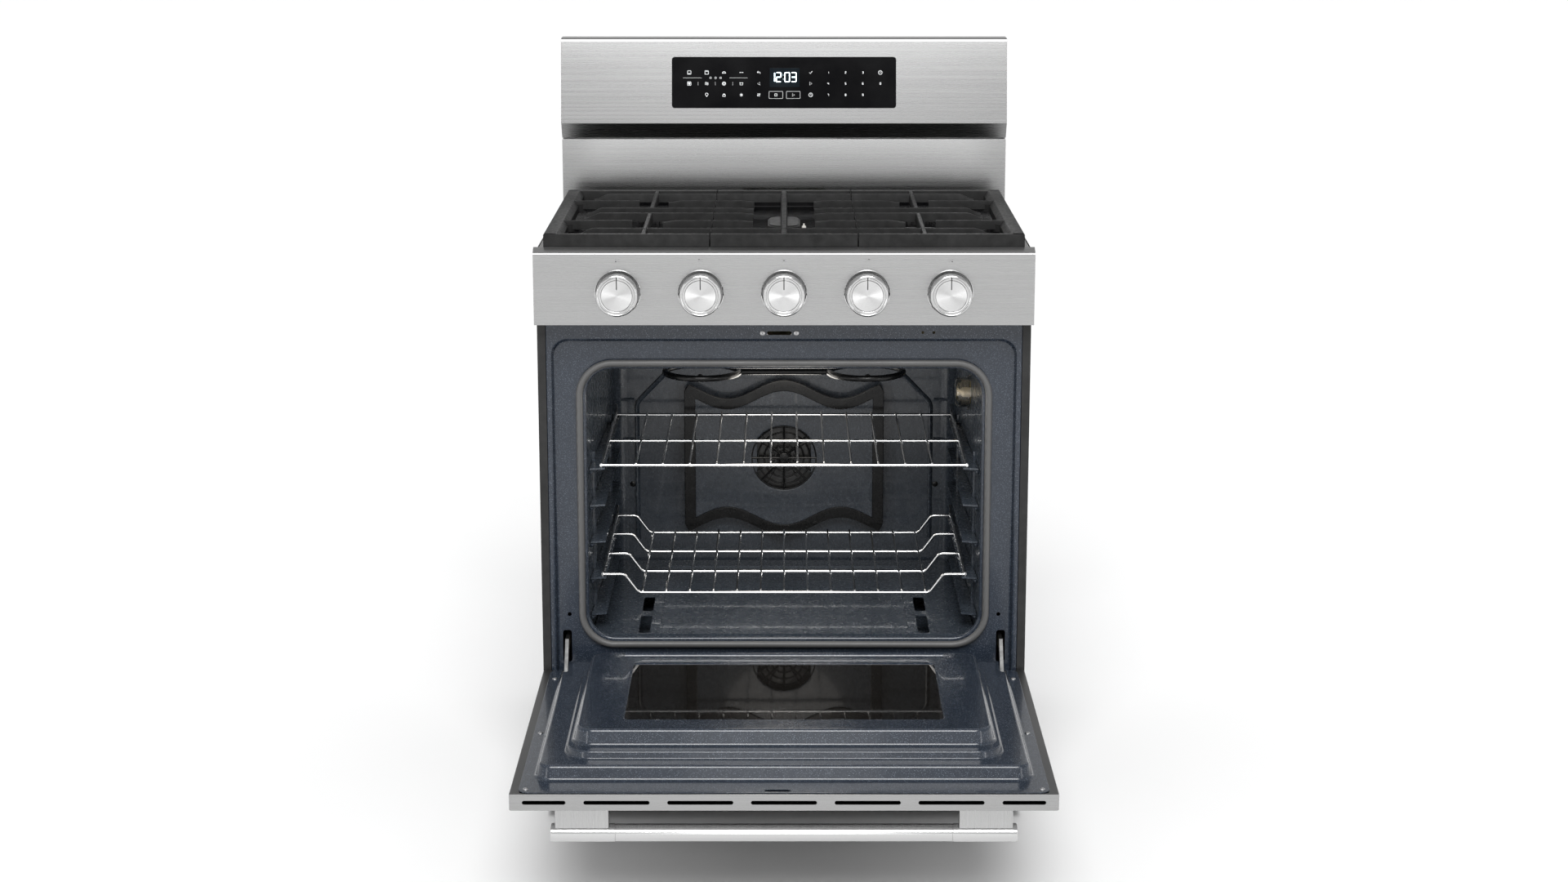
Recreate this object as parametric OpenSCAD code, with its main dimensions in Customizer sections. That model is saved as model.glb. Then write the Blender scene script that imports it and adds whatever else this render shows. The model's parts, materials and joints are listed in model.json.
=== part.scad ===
// Freestanding gas range, drawn at rest with its oven door open.
// X runs across the range, -Y is its front and +Z is up.  The origin is on the floor, under the
// middle of the box that holds the range with its door open.  back(d) gives the Y of a place that
// lies d behind the face of the control panel.

/* [Cabinet] */
// Width of the cabinet
body_w = 760; // [700:1:920]
// Depth of the cabinet, from the face of the control panel to its rear
body_d = 655; // [620:1:790]
// Height of the cooking surface above the floor
cook_h = 914; // [860:1:1100]
// Gap under the cabinet, which the levelling feet fill
foot_gap = 15; // [12:1:24]
// Thickness of the cabinet sheet
sheet_t = 1.2; // [0.8:0.1:1.6]
// Width of the returns on the front edges of the side panels
side_return = 14; // [10:1:18]
// Height of the base frame's rails
rail_h = 25; // [20:1:30]

/* [Control panel] */
// Height of the face of the control panel
panel_h = 111; // [92:1:134]
// Drop from the cooking surface to the front edge of the panel
panel_drop = 8; // [4:1:12]
// Depth of the sloping ledge above the panel
ledge_d = 15; // [12:1:15]
// Distance between neighbouring knobs
knob_pitch = 126; // [105:1:152]
// Diameter of a knob
knob_d = 64; // [53:1:77]
// Length of a knob
knob_l = 28; // [24:1:34]
// Diameter of the spun disc in a knob's face
knob_face_d = 48; // [40:1:50]
// Travel of a knob when it is pushed in
knob_push = 3; // [2:0.5:3]
// Diameter of a valve stem
stem_d = 8; // [6:0.5:9.6]
// Radial clearance of everything that turns or slides in a bore
running_gap = 0.05; // [0.02:0.01:0.1]

/* [Backguard] */
// Height of the backguard above the cooking surface
guard_h = 267; // [223:1:320]
// Height of the plain panel under the console
guard_panel_h = 96; // [80:1:115]
// Depth of the plain part of the backguard
guard_d = 55; // [50:1:66]
// Width of the control glass
glass_w = 382; // [320:1:458]
// Height of the control glass
glass_h = 87; // [73:1:96]

/* [Cooktop] */
// Height of the cast grates
grate_h = 19; // [16:1:23]
// Width of the middle grate
grate_mid_w = 224; // [187:1:268]
// Width of a grate bar
bar_w = 8; // [7:1:10]
// Distance of the outer burners from the middle of the range
burner_x = 214; // [190:1:220]
// Depth from the panel to the front burners
burner_front = 167; // [150:1:180]
// Depth from the panel to the rear burners
burner_rear = 397; // [380:1:410]

/* [Oven] */
// Space between the oven's side walls and the outside of the cabinet
oven_side = 73; // [62:1:80]
// Space between the top of the oven and the bottom of the control panel
oven_over = 79; // [68:1:90]
// Space between the back wall of the oven and the rear of the cabinet
oven_rear = 125; // [110:1:140]
// Draft of each side wall, from the mouth of the oven to the back
oven_draft = 15; // [10:1:18]
// Height of the oven's floor plate above the drawer
floor_over = 86; // [84:1:96]
// Depth of the burner chamber under the floor plate
chamber_h = 36; // [30:1:40]
// Depth of the front frame behind the panel
frame_back = 48; // [46:1:50]
// Depth of the frame's inner field behind its rim
frame_recess = 10.5; // [10:0.5:12]
// Diameter of the door seal
seal_d = 11; // [9:0.5:11]
// Corner radius of the mouth of the oven
mouth_r = 42; // [35:1:50]
// Spacing of the rack positions
rack_pitch = 59; // [50:1:70]
// Height of the lowest rack position above the floor plate
rack_first = 33; // [28:1:39]
// Number of rack positions
rack_levels = 5; // [4:1:6]
// Diameter of the heavy wires of a rack
wire_d = 6; // [5:0.5:7]
// Diameter of the rods that carry the food
rod_d = 3.6; // [3:0.2:4.2]
// Depth of the step in the lower rack
rack_drop = 30; // [25:1:36]

/* [Door] */
// Thickness of the door's edge
door_t = 24; // [22:1:24]
// Height of the first step of the inner panel
step_1 = 22; // [20:1:22]
// Height of the second step of the inner panel
step_2 = 11; // [8:1:11]
// Height of the raised field that closes the oven
step_3 = 23; // [18:1:26]
// Half the width of the inner window
window_hw = 228; // [190:1:240]
// Distance from the top of the door to the middle of the handle
handle_down = 54; // [45:1:64]
// Diameter of the handle bar
handle_d = 25; // [21:1:30]
// Distance from the door's face to the outside of the handle bar
handle_out = 64; // [60:1:68]
// Length of the handle bar
handle_l = 653; // [600:1:680]
// Diameter of the hinge pins
pin_d = 8; // [7:0.5:9.6]

/* [Drawer] */
// Height of the drawer's front
drawer_h = 185; // [160:1:200]
// Thickness of the drawer's front
drawer_t = 42; // [35:1:43]
// Depth of the drawer's box
drawer_l = 520; // [470:1:540]

/* [Hidden] */
$fn = 48;

// Clearances between pieces that are fixed to each other, and around what moves
seat = 0.2;
cut = 1; // how far a cutting shape runs past the face that it cuts

// Heights
drawer_top = foot_gap + drawer_h;
door_bottom = drawer_top + 14;
hinge_z = drawer_top + 32;
panel_top = cook_h - panel_drop;
panel_bottom = panel_top - panel_h;
door_top = panel_bottom - 9;
floor_z = drawer_top + floor_over;
chamber_z = floor_z - chamber_h;
oven_top = panel_bottom - oven_over;
knob_z = panel_bottom + panel_h * 0.45;
total_h = cook_h + guard_h;
side_top = cook_h - 12;

// Depths, and the Y of the panel's face, which puts the origin under the middle
hinge_back = 20;
door_up = door_top - hinge_z;   // from the hinge to the top of the door
door_down = hinge_z - door_bottom;
door_reach = door_up - hinge_back; // how far the open door stands in front of the panel
panel_y = (door_reach - body_d) / 2;
function back(d) = panel_y + d;
hinge_y = back(hinge_back);
field_back = frame_back + frame_recess; // the frame's inner field
liner_front = field_back + 1.5;
liner_back = body_d - oven_rear;
liner_t = 1.2;

// Half widths
half_w = body_w / 2;
door_hw = half_w - 1;
mouth_hw = half_w - oven_side;
frame_hw = half_w - side_return + 1;
drawer_hw = half_w - 3;
mouth_lip = 10; // from the edge of the mouth to the middle of the seal
mouth_bottom = floor_z - 2;

// Burners, as [x, depth behind the panel, radius of the cap]
burners = [
    [-burner_x, burner_front, 44], [-burner_x, burner_rear, 30],
    [0, (burner_front + burner_rear) / 2, 26],
    [burner_x, burner_rear, 36], [burner_x, burner_front, 50]
];
middle_burner = 2;
middle_stretch = 60; // distance between the ends of the oval middle burner
deck_z = cook_h - 18;
cup_z = deck_z - 28;
tube_d = 7;
tube_z = cup_z - tube_d - 2;

// ---------------------------------------------------------------- shared shapes
// A box given by two opposite corners
module block(lo, hi) {
    translate(lo) cube(hi - lo);
}

// A child and its mirror image across the middle of the range
module both_sides() {
    children();
    mirror([1, 0, 0]) children();
}

// A rounded rectangle from its corners, with true arcs
module rounded(lo, hi, r) {
    difference() {
        translate(lo) square(hi - lo);
        for (sx = [0, 1], sy = [0, 1])
            translate([sx ? hi.x : lo.x, sy ? hi.y : lo.y])
                rotate(90 * (sx == sy ? 2 * sx : (sx ? 1 : 3)))
                    difference() {
                        square(r);
                        translate([r, r]) circle(r = r);
                    }
    }
}

// Stands a drawing of X and Z upright, from depth d back to d + t
module upright(d, t) {
    translate([0, back(d) + t, 0]) rotate([90, 0, 0]) linear_extrude(t) children();
}

// Runs an outline of Y and Z across the range
module across(w) {
    rotate([90, 0, 90]) linear_extrude(w, center = true) children();
}

// A straight wire from p to q
module wire(p, q, d) {
    v = q - p;
    l = norm(v);
    translate(p) rotate([0, acos(v.z / l), atan2(v.y, v.x)]) cylinder(h = l, d = d);
}

// A bent wire through a list of points, with a round joint a little thicker than it at each bend
module bent_wire(points, d) {
    for (i = [1 : len(points) - 1]) wire(points[i - 1], points[i], d);
    if (len(points) > 2)
        for (i = [1 : len(points) - 2]) translate(points[i]) sphere(d = 1.05 * d);
}

// ---------------------------------------------------------------- cabinet
foot_x = half_w - 26;
foot_front = 100;
foot_rear = body_d - 40;
foot_thread = 10;
foot_pad_d = 36;
foot_pad_h = 8;
rail_w = 34;

module at_feet() {
    for (sx = [-1, 1], d = [foot_front, foot_rear]) translate([sx * foot_x, back(d), 0]) children();
}

module base_frame() {
    frame_front = liner_front + 5;
    frame_rear = body_d - 8;
    x_out = half_w - sheet_t - seat;
    color("dimgray") difference() {
        block([-x_out, back(frame_front), foot_gap], [x_out, back(frame_rear), foot_gap + rail_h]);
        block(
            [-x_out + rail_w, back(frame_front + rail_w), foot_gap - cut],
            [x_out - rail_w, back(frame_rear - rail_w), foot_gap + rail_h + cut]
        );
        // the rails are channels, open underneath
        block(
            [-x_out + 2, back(frame_front + 2), foot_gap - cut],
            [x_out - 2, back(frame_front + rail_w - 2), foot_gap + rail_h - 6]
        );
        block(
            [-x_out + 2, back(frame_rear - rail_w + 2), foot_gap - cut],
            [x_out - 2, back(frame_rear - 2), foot_gap + rail_h - 6]
        );
        at_feet() cylinder(h = foot_gap + rail_h + cut, d = foot_thread + 2 * running_gap);
    }
}

module leveling_feet() {
    color("gray") at_feet() {
        cylinder(h = foot_pad_h, d1 = foot_pad_d, d2 = foot_pad_d - 6);
        cylinder(h = foot_gap + rail_h + 4, d = foot_thread);
    }
}

// Plan of the left side panel: outer sheet with a return at each end
module side_panel_plan() {
    rear = body_d - sheet_t - seat;
    translate([-half_w, back(frame_back)]) square([sheet_t, rear - frame_back]);
    translate([-half_w, back(frame_back)]) square([side_return - 1 - seat, sheet_t]);
    translate([-half_w, back(rear - sheet_t)]) square([side_return, sheet_t]);
}

module side_panel_left() {
    color("black") translate([0, 0, foot_gap])
        linear_extrude(side_top - foot_gap) side_panel_plan();
}

module side_panel_right() {
    mirror([1, 0, 0]) side_panel_left();
}

inlet_x = 230;
inlet_z = 110;
inlet_hole_r = 32;
vent_slots = 9;

module rear_panel() {
    slot_w = 34;
    slot_h = 8;
    vent_z = cook_h - 90;
    color("silver") difference() {
        upright(body_d - sheet_t, sheet_t)
            translate([-half_w, foot_gap]) square([body_w, side_top - foot_gap]);
        translate([inlet_x, back(body_d + cut), inlet_z])
            rotate([90, 0, 0]) cylinder(h = sheet_t + 2 * cut, r = inlet_hole_r);
        for (i = [0 : vent_slots - 1], row = [0, 1])
            translate([(i - (vent_slots - 1) / 2) * (slot_w + 18), back(body_d), vent_z + row * 24])
                cube([slot_w, 4 * sheet_t, slot_h], center = true);
    }
}

// ---------------------------------------------------------------- cooktop
cooktop_hw = half_w - 8;
cooktop_front = ledge_d + 1.2;
cooktop_rear = body_d - guard_d - 1;
cooktop_t = 2;
rim_w = 11;

// Outline of burner i with radius r: round, or oval for the middle one
module burner_outline(i, r) {
    reach = r + middle_stretch / 2;
    if (i == middle_burner) rounded([-r, -reach], [r, reach], 0.96 * r);
    else circle(r = r);
}

module at_burner(i, z) {
    translate([burners[i].x, back(burners[i].y), z]) children();
}

// A block as wide and deep as the cooktop, g inside its edge
module cooktop_block(g, z0, z1) {
    block(
        [-cooktop_hw + g, back(cooktop_front + g), z0],
        [cooktop_hw - g, back(cooktop_rear - g), z1]
    );
}

module cooktop() {
    low = side_top + seat;
    top = cook_h - 2;
    color([0.06, 0.06, 0.07]) difference() {
        union() {
            // turned-down rim around the dished deck
            difference() {
                cooktop_block(0, low, top);
                cooktop_block(cooktop_t, low - cut, top - cooktop_t);
            }
            cooktop_block(rim_w - cooktop_t, deck_z - cooktop_t, top);
        }
        cooktop_block(rim_w, deck_z, top + cut);
        for (i = [0 : len(burners) - 1])
            at_burner(i, deck_z - 3 * cooktop_t) linear_extrude(20) burner_outline(i, 18 + seat);
    }
}

head_h = 12;
module burner_heads() {
    color("silver") for (i = [0 : len(burners) - 1]) {
        r = burners[i].z - 4;
        at_burner(i, cup_z) linear_extrude(deck_z - cup_z + 1) burner_outline(i, 18);
        at_burner(i, deck_z + seat) linear_extrude(head_h - seat) difference() {
            burner_outline(i, r);
            // flame ports around a round head
            if (i != middle_burner)
                for (a = [0 : 15 : 345]) rotate(a + 7) translate([r - 5, -0.9]) square([8, 1.8]);
        }
    }
}

module burner_caps() {
    z = deck_z + head_h;
    color("black") for (i = [0 : len(burners) - 1]) {
        r = burners[i].z;
        at_burner(i, z + seat) linear_extrude(4) burner_outline(i, r);
        at_burner(i, z + 4) linear_extrude(2.4) burner_outline(i, r - 2.5);
    }
}

module igniters() {
    color("white") for (i = [0 : len(burners) - 1]) {
        reach = burners[i].z + 6;
        at_burner(i, deck_z + seat) translate([reach, 0, 0]) {
            cylinder(h = 10, d = 7);
            cylinder(h = 14, d = 2.4);
        }
    }
}

// ---------------------------------------------------------------- grates
grate_front = cooktop_front;
grate_rear = burner_rear + 134;
grate_top = cook_h + grate_h - 1;
grate_low = cook_h - 2 + seat;
grate_gap = 1.2;
side_rail_w = 27;
finger_h = 14;
mid_hw = grate_mid_w / 2;
outer_hw = cooktop_hw - 7;
bar_ring = 85; // distance of the long bars from a burner's middle

// Depths of the bars that cross each burner, front to rear
long_bars = [
    burner_front - bar_ring, burner_front + bar_ring,
    burner_rear - bar_ring, burner_rear + bar_ring
];
short_bars = [burner_front, burner_rear];

// A bar along X at depth d, from x0 to x1
module cross_bar(x0, x1, d, h) {
    block([x0, back(d) - bar_w / 2, grate_top - h], [x1, back(d) + bar_w / 2, grate_top]);
}

// A bar along Y at x, from depth d0 to d1
module run_bar(x, d0, d1, w, h) {
    block([x - w / 2, back(d0), grate_top - h], [x + w / 2, back(d1), grate_top]);
}

// Front and rear bars of a grate
module grate_ends(x0, x1) {
    t = bar_w + 3;
    block([x0, back(grate_front), grate_low], [x1, back(grate_front + t), grate_top]);
    block([x0, back(grate_rear - t), grate_low], [x1, back(grate_rear), grate_top]);
}

// Low wall beside the neighbouring grate
module split_wall(x0, x1) {
    block([x0, back(grate_front), grate_low], [x1, back(grate_rear), grate_top - finger_h + 4]);
}

module grate_left() {
    x0 = -outer_hw;
    x1 = -mid_hw - grate_gap;
    rail_in = x0 + side_rail_w;
    tip_gap = 24;
    color([0.12, 0.12, 0.12]) {
        grate_ends(x0, x1);
        split_wall(x1 - bar_w, x1);
        // broad side rail, bevelled towards the inside
        translate([0, back(grate_rear), 0]) rotate([90, 0, 0])
            linear_extrude(grate_rear - grate_front) polygon([
                [x0, grate_low], [x0, grate_top], [rail_in - 6, grate_top],
                [rail_in, grate_top - 6], [rail_in, grate_low]
            ]);
        for (d = long_bars) cross_bar(rail_in + 27, x1, d, finger_h);
        for (d = short_bars) {
            cross_bar(rail_in - 1, -burner_x - tip_gap, d, finger_h);
            cross_bar(-burner_x + tip_gap, x1, d, finger_h);
        }
        run_bar(-burner_x, grate_front + 1, long_bars[1], bar_w, finger_h);
        run_bar(-burner_x, long_bars[2], grate_rear - 1, bar_w, finger_h);
    }
}

module grate_right() {
    mirror([1, 0, 0]) grate_left();
}

module grate_center() {
    finger_end = 49;
    color([0.12, 0.12, 0.12]) {
        grate_ends(-mid_hw, mid_hw);
        run_bar(0, grate_front + 1, grate_rear - 1, bar_w + 2, finger_h);
        both_sides() {
            split_wall(-mid_hw, -mid_hw + bar_w);
            for (d = [long_bars[0], long_bars[3]]) cross_bar(-mid_hw, 1, d, finger_h);
            for (d = [short_bars[0], long_bars[1], long_bars[2], short_bars[1]])
                cross_bar(-mid_hw, -finger_end, d, finger_h);
        }
    }
}

// ---------------------------------------------------------------- control panel and gas
panel_t = 1.5;
panel_deep = frame_back - seat;
stem_hole_r = stem_d / 2 + 3;
function knob_x(n) = (n - 3) * knob_pitch;

// Outline of the panel's section, drawn g inside its outer face
module panel_section(g) {
    edge = 3;
    polygon([
        [back(g), panel_bottom + g],
        [back(g), panel_top - edge],
        [back(g + 0.9), panel_top - 0.9 - g / 2],
        [back(edge + g), panel_top + 1 - g],
        [back(ledge_d), cook_h - 1.2 - g],
        [back(ledge_d), cook_h - 16],
        [back(panel_deep), cook_h - 16],
        [back(panel_deep), panel_bottom + g]
    ]);
}

module control_panel() {
    color("silver") difference() {
        across(body_w) panel_section(0);
        difference() {
            across(body_w - 2 * panel_t) panel_section(panel_t);
            // the ledge stays closed down its rear edge
            block(
                [-half_w, back(ledge_d - panel_t), cook_h - 16],
                [half_w, back(ledge_d + cut), cook_h]
            );
        }
        // open back
        block(
            [-half_w + panel_t, back(ledge_d + seat), panel_bottom + panel_t],
            [half_w - panel_t, back(panel_deep + cut), cook_h]
        );
        for (n = [1 : 5]) translate([knob_x(n), back(panel_t + cut), knob_z])
            rotate([90, 0, 0]) cylinder(h = panel_t + 2 * cut, r = stem_hole_r);
    }
}

// Turns a shape's +Z to face the user, at the axis of knob n and y = 0 at the panel's face
module at_knob(n) {
    translate([knob_x(n), back(0), knob_z]) rotate([90, 0, 0]) children();
}

bezel_r = knob_d / 2 + 3.2;
knob_lift = knob_push + 1;

module knob_bezels() {
    color("gainsboro") for (n = [1 : 5]) at_knob(n) rotate_extrude() polygon([
        [bezel_r - 2.2, 0.05], [bezel_r, 0.05], [bezel_r, 2], [bezel_r - 0.8, 3.4],
        [bezel_r - 1.6, 3.4], [bezel_r - 2.2, 2.6]
    ]);
}

// Section of a knob: skirt, rounded rim, groove and spun disc
module knob_section() {
    r = knob_d / 2;
    f = knob_face_d / 2;
    rim = 2.5;
    bore_r = stem_d / 2 + running_gap;
    difference() {
        union() {
            square([r, knob_l - rim]);
            square([r - rim, knob_l]);
            translate([r - rim, knob_l - rim]) circle(r = rim);
        }
        // groove around the disc
        translate([f + 3, knob_l - 1.6]) square([1.4, 4]);
        translate([f, knob_l - 0.8]) square([3.2, 4]);
        // hollow under the skirt, around the hub
        translate([stem_d / 2 + 5, -1]) square([r - stem_d / 2 - 7, knob_l - 7]);
        translate([-1, -1]) square([bore_r + 1, knob_l - 7]);
    }
}

// What lies past the flat of a D-shaped stem, g away from the flat, h long
module d_flat(g, h) {
    flat = stem_d / 2 - 1.6;
    translate([flat + g, -stem_d, 0]) cube([stem_d, 2 * stem_d, h]);
}

module knob(n) {
    color("silver") at_knob(n) translate([0, 0, knob_lift]) {
        rotate_extrude() knob_section();
        intersection() {
            d_flat(running_gap, knob_l - 10);
            translate([0, 0, 2]) cylinder(h = knob_l - 10, r = stem_d / 2 + 1);
        }
    }
}

valve_front = 12;
valve_deep = 36;
stem_out = knob_lift + knob_l - 7 - knob_push - 1;

module stem(n) {
    color("gray") at_knob(n) difference() {
        translate([0, 0, -valve_front - 20]) cylinder(h = stem_out + valve_front + 20, d = stem_d);
        translate([0, 0, 1 + knob_lift - knob_push]) d_flat(0, knob_l);
    }
}

valve_hh = 10; // half the height of a valve's body
manifold_d = 20;
manifold_back = valve_front + valve_deep + manifold_d / 2;

module gas_valves() {
    color("goldenrod") for (n = [1 : 5]) difference() {
        union() {
            translate([knob_x(n) - 14, back(valve_front), knob_z - valve_hh])
                cube([28, valve_deep - seat, 2 * valve_hh]);
            translate([knob_x(n), back(valve_front + valve_deep / 2), knob_z])
                cylinder(h = tube_z - tube_d / 2 - knob_z, d = 12);
        }
        at_knob(n) translate([0, 0, -valve_front - 22])
            cylinder(h = 40, r = stem_d / 2 + running_gap);
    }
}

module manifold_pipe() {
    l = 4 * knob_pitch + 60;
    color("gray") translate([-l / 2, back(manifold_back), knob_z]) rotate([0, 90, 0])
        difference() {
            cylinder(h = l, d = manifold_d);
            translate([0, 0, 3]) cylinder(h = l - 6, d = manifold_d - 5);
        }
}

line_d = 13;
line_back = body_d - 45;
regulator_h = 60;

module gas_lines() {
    color("lightgray") {
        bent_wire([
            [inlet_x, back(line_back), inlet_z + regulator_h / 2 + seat],
            [inlet_x, back(line_back), knob_z],
            [inlet_x, back(manifold_back + manifold_d / 2 + seat), knob_z]
        ], line_d);
        for (i = [0 : len(burners) - 1]) bent_wire([
            [knob_x(i + 1), back(valve_front + valve_deep / 2), tube_z],
            [burners[i].x, back(burners[i].y), tube_z],
            [burners[i].x, back(burners[i].y), cup_z]
        ], tube_d);
    }
}

inlet_r = 10.3;
inlet_l = 15;

module pressure_regulator() {
    color("darkgray") difference() {
        union() {
            block(
                [inlet_x - 24, back(line_back - 28), inlet_z - regulator_h / 2],
                [inlet_x + 24, back(line_back + 20), inlet_z + regulator_h / 2]
            );
            translate([inlet_x, back(line_back + 20), inlet_z]) rotate([-90, 0, 0])
                cylinder(h = 16, r = 17);
            translate([inlet_x, back(line_back - 28), inlet_z]) rotate([90, 0, 0])
                cylinder(h = 9, r = 20);
        }
        translate([inlet_x, back(line_back + 36 - inlet_l), inlet_z]) rotate([-90, 0, 0])
            cylinder(h = inlet_l + cut, r = inlet_r);
    }
}

// ---------------------------------------------------------------- backguard
guard_front = body_d - guard_d;
guard_t = 1.2;
console_z = cook_h + guard_panel_h;
nose_z = console_z + 29;
nose_front = guard_front - 16;
lean = 28; // how far the console's face leans back from its nose to its top
crown = 6;
console_low = console_z + 2.5;
face_top = total_h - crown;
face_angle = atan2(lean, face_top - nose_z);

module backguard_panel() {
    low = side_top + seat;
    color("silver") difference() {
        block(
            [-half_w, back(guard_front), low],
            [half_w, back(body_d), console_z]
        );
        block(
            [-half_w + guard_t, back(guard_front + guard_t), low - cut],
            [half_w - guard_t, back(body_d - guard_t), console_z - guard_t]
        );
        // oven vent at the foot of the panel
        block(
            [-70, back(guard_front - cut), cook_h + 4],
            [70, back(guard_front + 2 * guard_t), cook_h + 12]
        );
    }
}

// Section of the console, drawn g inside its outer face
module console_section(g) {
    polygon([
        [back(guard_front + 1 + g), console_low + g],
        [back(nose_front + g), nose_z + g * 0.3],
        [back(nose_front + lean + g), face_top],
        [back(nose_front + lean + 1.5 + g), face_top + 3.5 - g / 2],
        [back(nose_front + lean + crown + g), total_h - g],
        [back(body_d - 4 - g), total_h - g],
        [back(body_d - g), total_h - 4 - g],
        [back(body_d - g), console_low + g]
    ]);
}

// Turns a child's XY plane into the console's face: +Y runs up the face, +Z out of it
module on_console_face() {
    mid_z = (nose_z + face_top) / 2;
    translate([0, back(nose_front + lean / 2), mid_z]) rotate([90 - face_angle, 0, 0]) children();
}

module console_housing() {
    color("silver") difference() {
        across(body_w) console_section(0);
        across(body_w - 2 * guard_t) console_section(guard_t);
        on_console_face() translate([-glass_w / 2 + 12, -glass_h / 2 + 10, -6])
            cube([glass_w - 24, glass_h - 20, 12]);
    }
}

module control_glass() {
    color([0.03, 0.03, 0.04]) on_console_face() translate([0, 0, 0.05])
        linear_extrude(1.6) rounded([-glass_w / 2, -glass_h / 2], [glass_w / 2, glass_h / 2], 5);
}

module control_board() {
    color("darkgreen") on_console_face() translate([0, 0, -16]) {
        linear_extrude(1.6) square([glass_w - 60, glass_h - 26], center = true);
        for (x = [-120, -40, 60, 130]) translate([x - 12, -10, -10]) cube([24, 20, 10.5]);
    }
}

// ---------------------------------------------------------------- oven
function wall_hw(d) = mouth_hw - oven_draft * (d - liner_front) / (liner_back - liner_front);

// Plan of the oven, g outside its inner face, from depth d0 to d1
module oven_plan(g, d0, d1) {
    f = mouth_hw + g;
    b = mouth_hw - oven_draft + g;
    polygon([[-f, back(d0)], [f, back(d0)], [b, back(d1)], [-b, back(d1)]]);
}

fan_z = floor_z + 186;
fan_shaft_d = 8;
lamp_d = liner_front + 190;
lamp_z = oven_top - 76;
lamp_r = 26;

module oven_liner() {
    color([0.2, 0.22, 0.25]) difference() {
        translate([0, 0, chamber_z - liner_t])
            linear_extrude(oven_top - chamber_z + 2 * liner_t)
                oven_plan(liner_t, liner_front + seat, liner_back + liner_t);
        translate([0, 0, chamber_z])
            linear_extrude(oven_top - chamber_z) oven_plan(0, liner_front - cut, liner_back);
        translate([0, back(liner_back - cut), fan_z]) rotate([-90, 0, 0])
            cylinder(h = 6, d = fan_shaft_d + 4);
        translate([mouth_hw - 30, back(lamp_d), lamp_z]) rotate([0, 90, 0])
            cylinder(h = 60, r = lamp_r - 4);
        // gas and air reach the bake burner here
        translate([0, back(liner_back - cut), chamber_z + chamber_h / 2]) rotate([-90, 0, 0])
            cylinder(h = 6, d = 22);
        translate([0, back(liner_back - cut), broil_z]) rotate([-90, 0, 0])
            cylinder(h = 6, d = 16);
        translate([probe_x, back(liner_back - cut), probe_z]) rotate([-90, 0, 0])
            cylinder(h = 6, d = 8);
    }
}

latch_z = panel_bottom - 21;
latch_x = -7;
latch_t = 3;
latch_pivot_x = latch_x + 40;
latch_pivot_back = field_back + 26;
latch_stud_d = 6;
arm_x = mouth_hw + 35;
arm_slot_w = 14;
arm_low = hinge_z + 12;
arm_high = hinge_z + 64;
arm_reach = 52; // height of the arms' hooks above their pins
rim_in = half_w - 22; // half width of the embossed field
rim_r = 25;
frame_t = 1.5;

// Inner field of the frame, from its own lower edge to its top
module frame_field(g) {
    rounded(
        [-rim_in - g, drawer_top + 6 - rim_r],
        [rim_in + g, panel_bottom - 32 + g], rim_r
    );
}

// Shelf behind the frame that carries the latch
module latch_bracket() {
    shelf_z = latch_z - latch_t / 2 - 4;
    difference() {
        block(
            [latch_pivot_x - 12, back(frame_back + 1), shelf_z],
            [latch_pivot_x + 12, back(latch_pivot_back + 10), shelf_z + 3]
        );
        translate([latch_pivot_x, back(latch_pivot_back), shelf_z - cut])
            cylinder(h = 3 + 2 * cut, d = latch_stud_d + 2 * running_gap);
    }
}

module front_frame() {
    low = drawer_top + 6;
    top = panel_bottom - seat;
    color([0.25, 0.28, 0.31]) latch_bracket();
    color([0.25, 0.28, 0.31]) difference() {
        upright(frame_back, frame_recess + frame_t)
            translate([-frame_hw + seat, low]) square([2 * frame_hw - 2 * seat, top - low]);
        upright(frame_back - cut, frame_recess + cut) frame_field(0);
        // hollow behind the rim
        upright(frame_back + frame_t, frame_recess + cut) difference() {
            translate([-frame_hw - cut, low - cut]) square([2 * frame_hw + 2, top - low + 2]);
            frame_field(frame_t);
        }
        upright(frame_back, 30)
            rounded([-mouth_hw, mouth_bottom], [mouth_hw, oven_top], mouth_r);
        // slot of the latch
        upright(frame_back - cut, 30)
            rounded([latch_x - 19, latch_z - 3], [latch_x + 19, latch_z + 3], 2.5);
        both_sides() upright(frame_back - cut, 30)
            rounded([arm_x - arm_slot_w / 2, arm_low], [arm_x + arm_slot_w / 2, arm_high], 4);
    }
}

// A tube that follows a rounded rectangle of X and Z
module seal_tube(lo, hi, r, d) {
    for (x = [lo.x, hi.x]) wire([x, 0, lo.y + r], [x, 0, hi.y - r], d);
    for (z = [lo.y, hi.y]) wire([lo.x + r, 0, z], [hi.x - r, 0, z], d);
    for (c = [[lo.x + r, lo.y + r, 180], [hi.x - r, lo.y + r, 270],
              [hi.x - r, hi.y - r, 0], [lo.x + r, hi.y - r, 90]])
        translate([c.x, 0, c.y]) rotate([90, 0, 0]) rotate(c.z)
            rotate_extrude(angle = 90) translate([r, 0]) circle(d = d);
}

module door_gasket() {
    lip = mouth_lip;
    color("gray") translate([0, back(field_back - seal_d / 2 - 0.1), 0]) seal_tube(
        [-mouth_hw - lip, mouth_bottom - lip], [mouth_hw + lip, oven_top + lip],
        mouth_r + lip, seal_d
    );
}

floor_gap = 3;
floor_t = 1.5;

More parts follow.
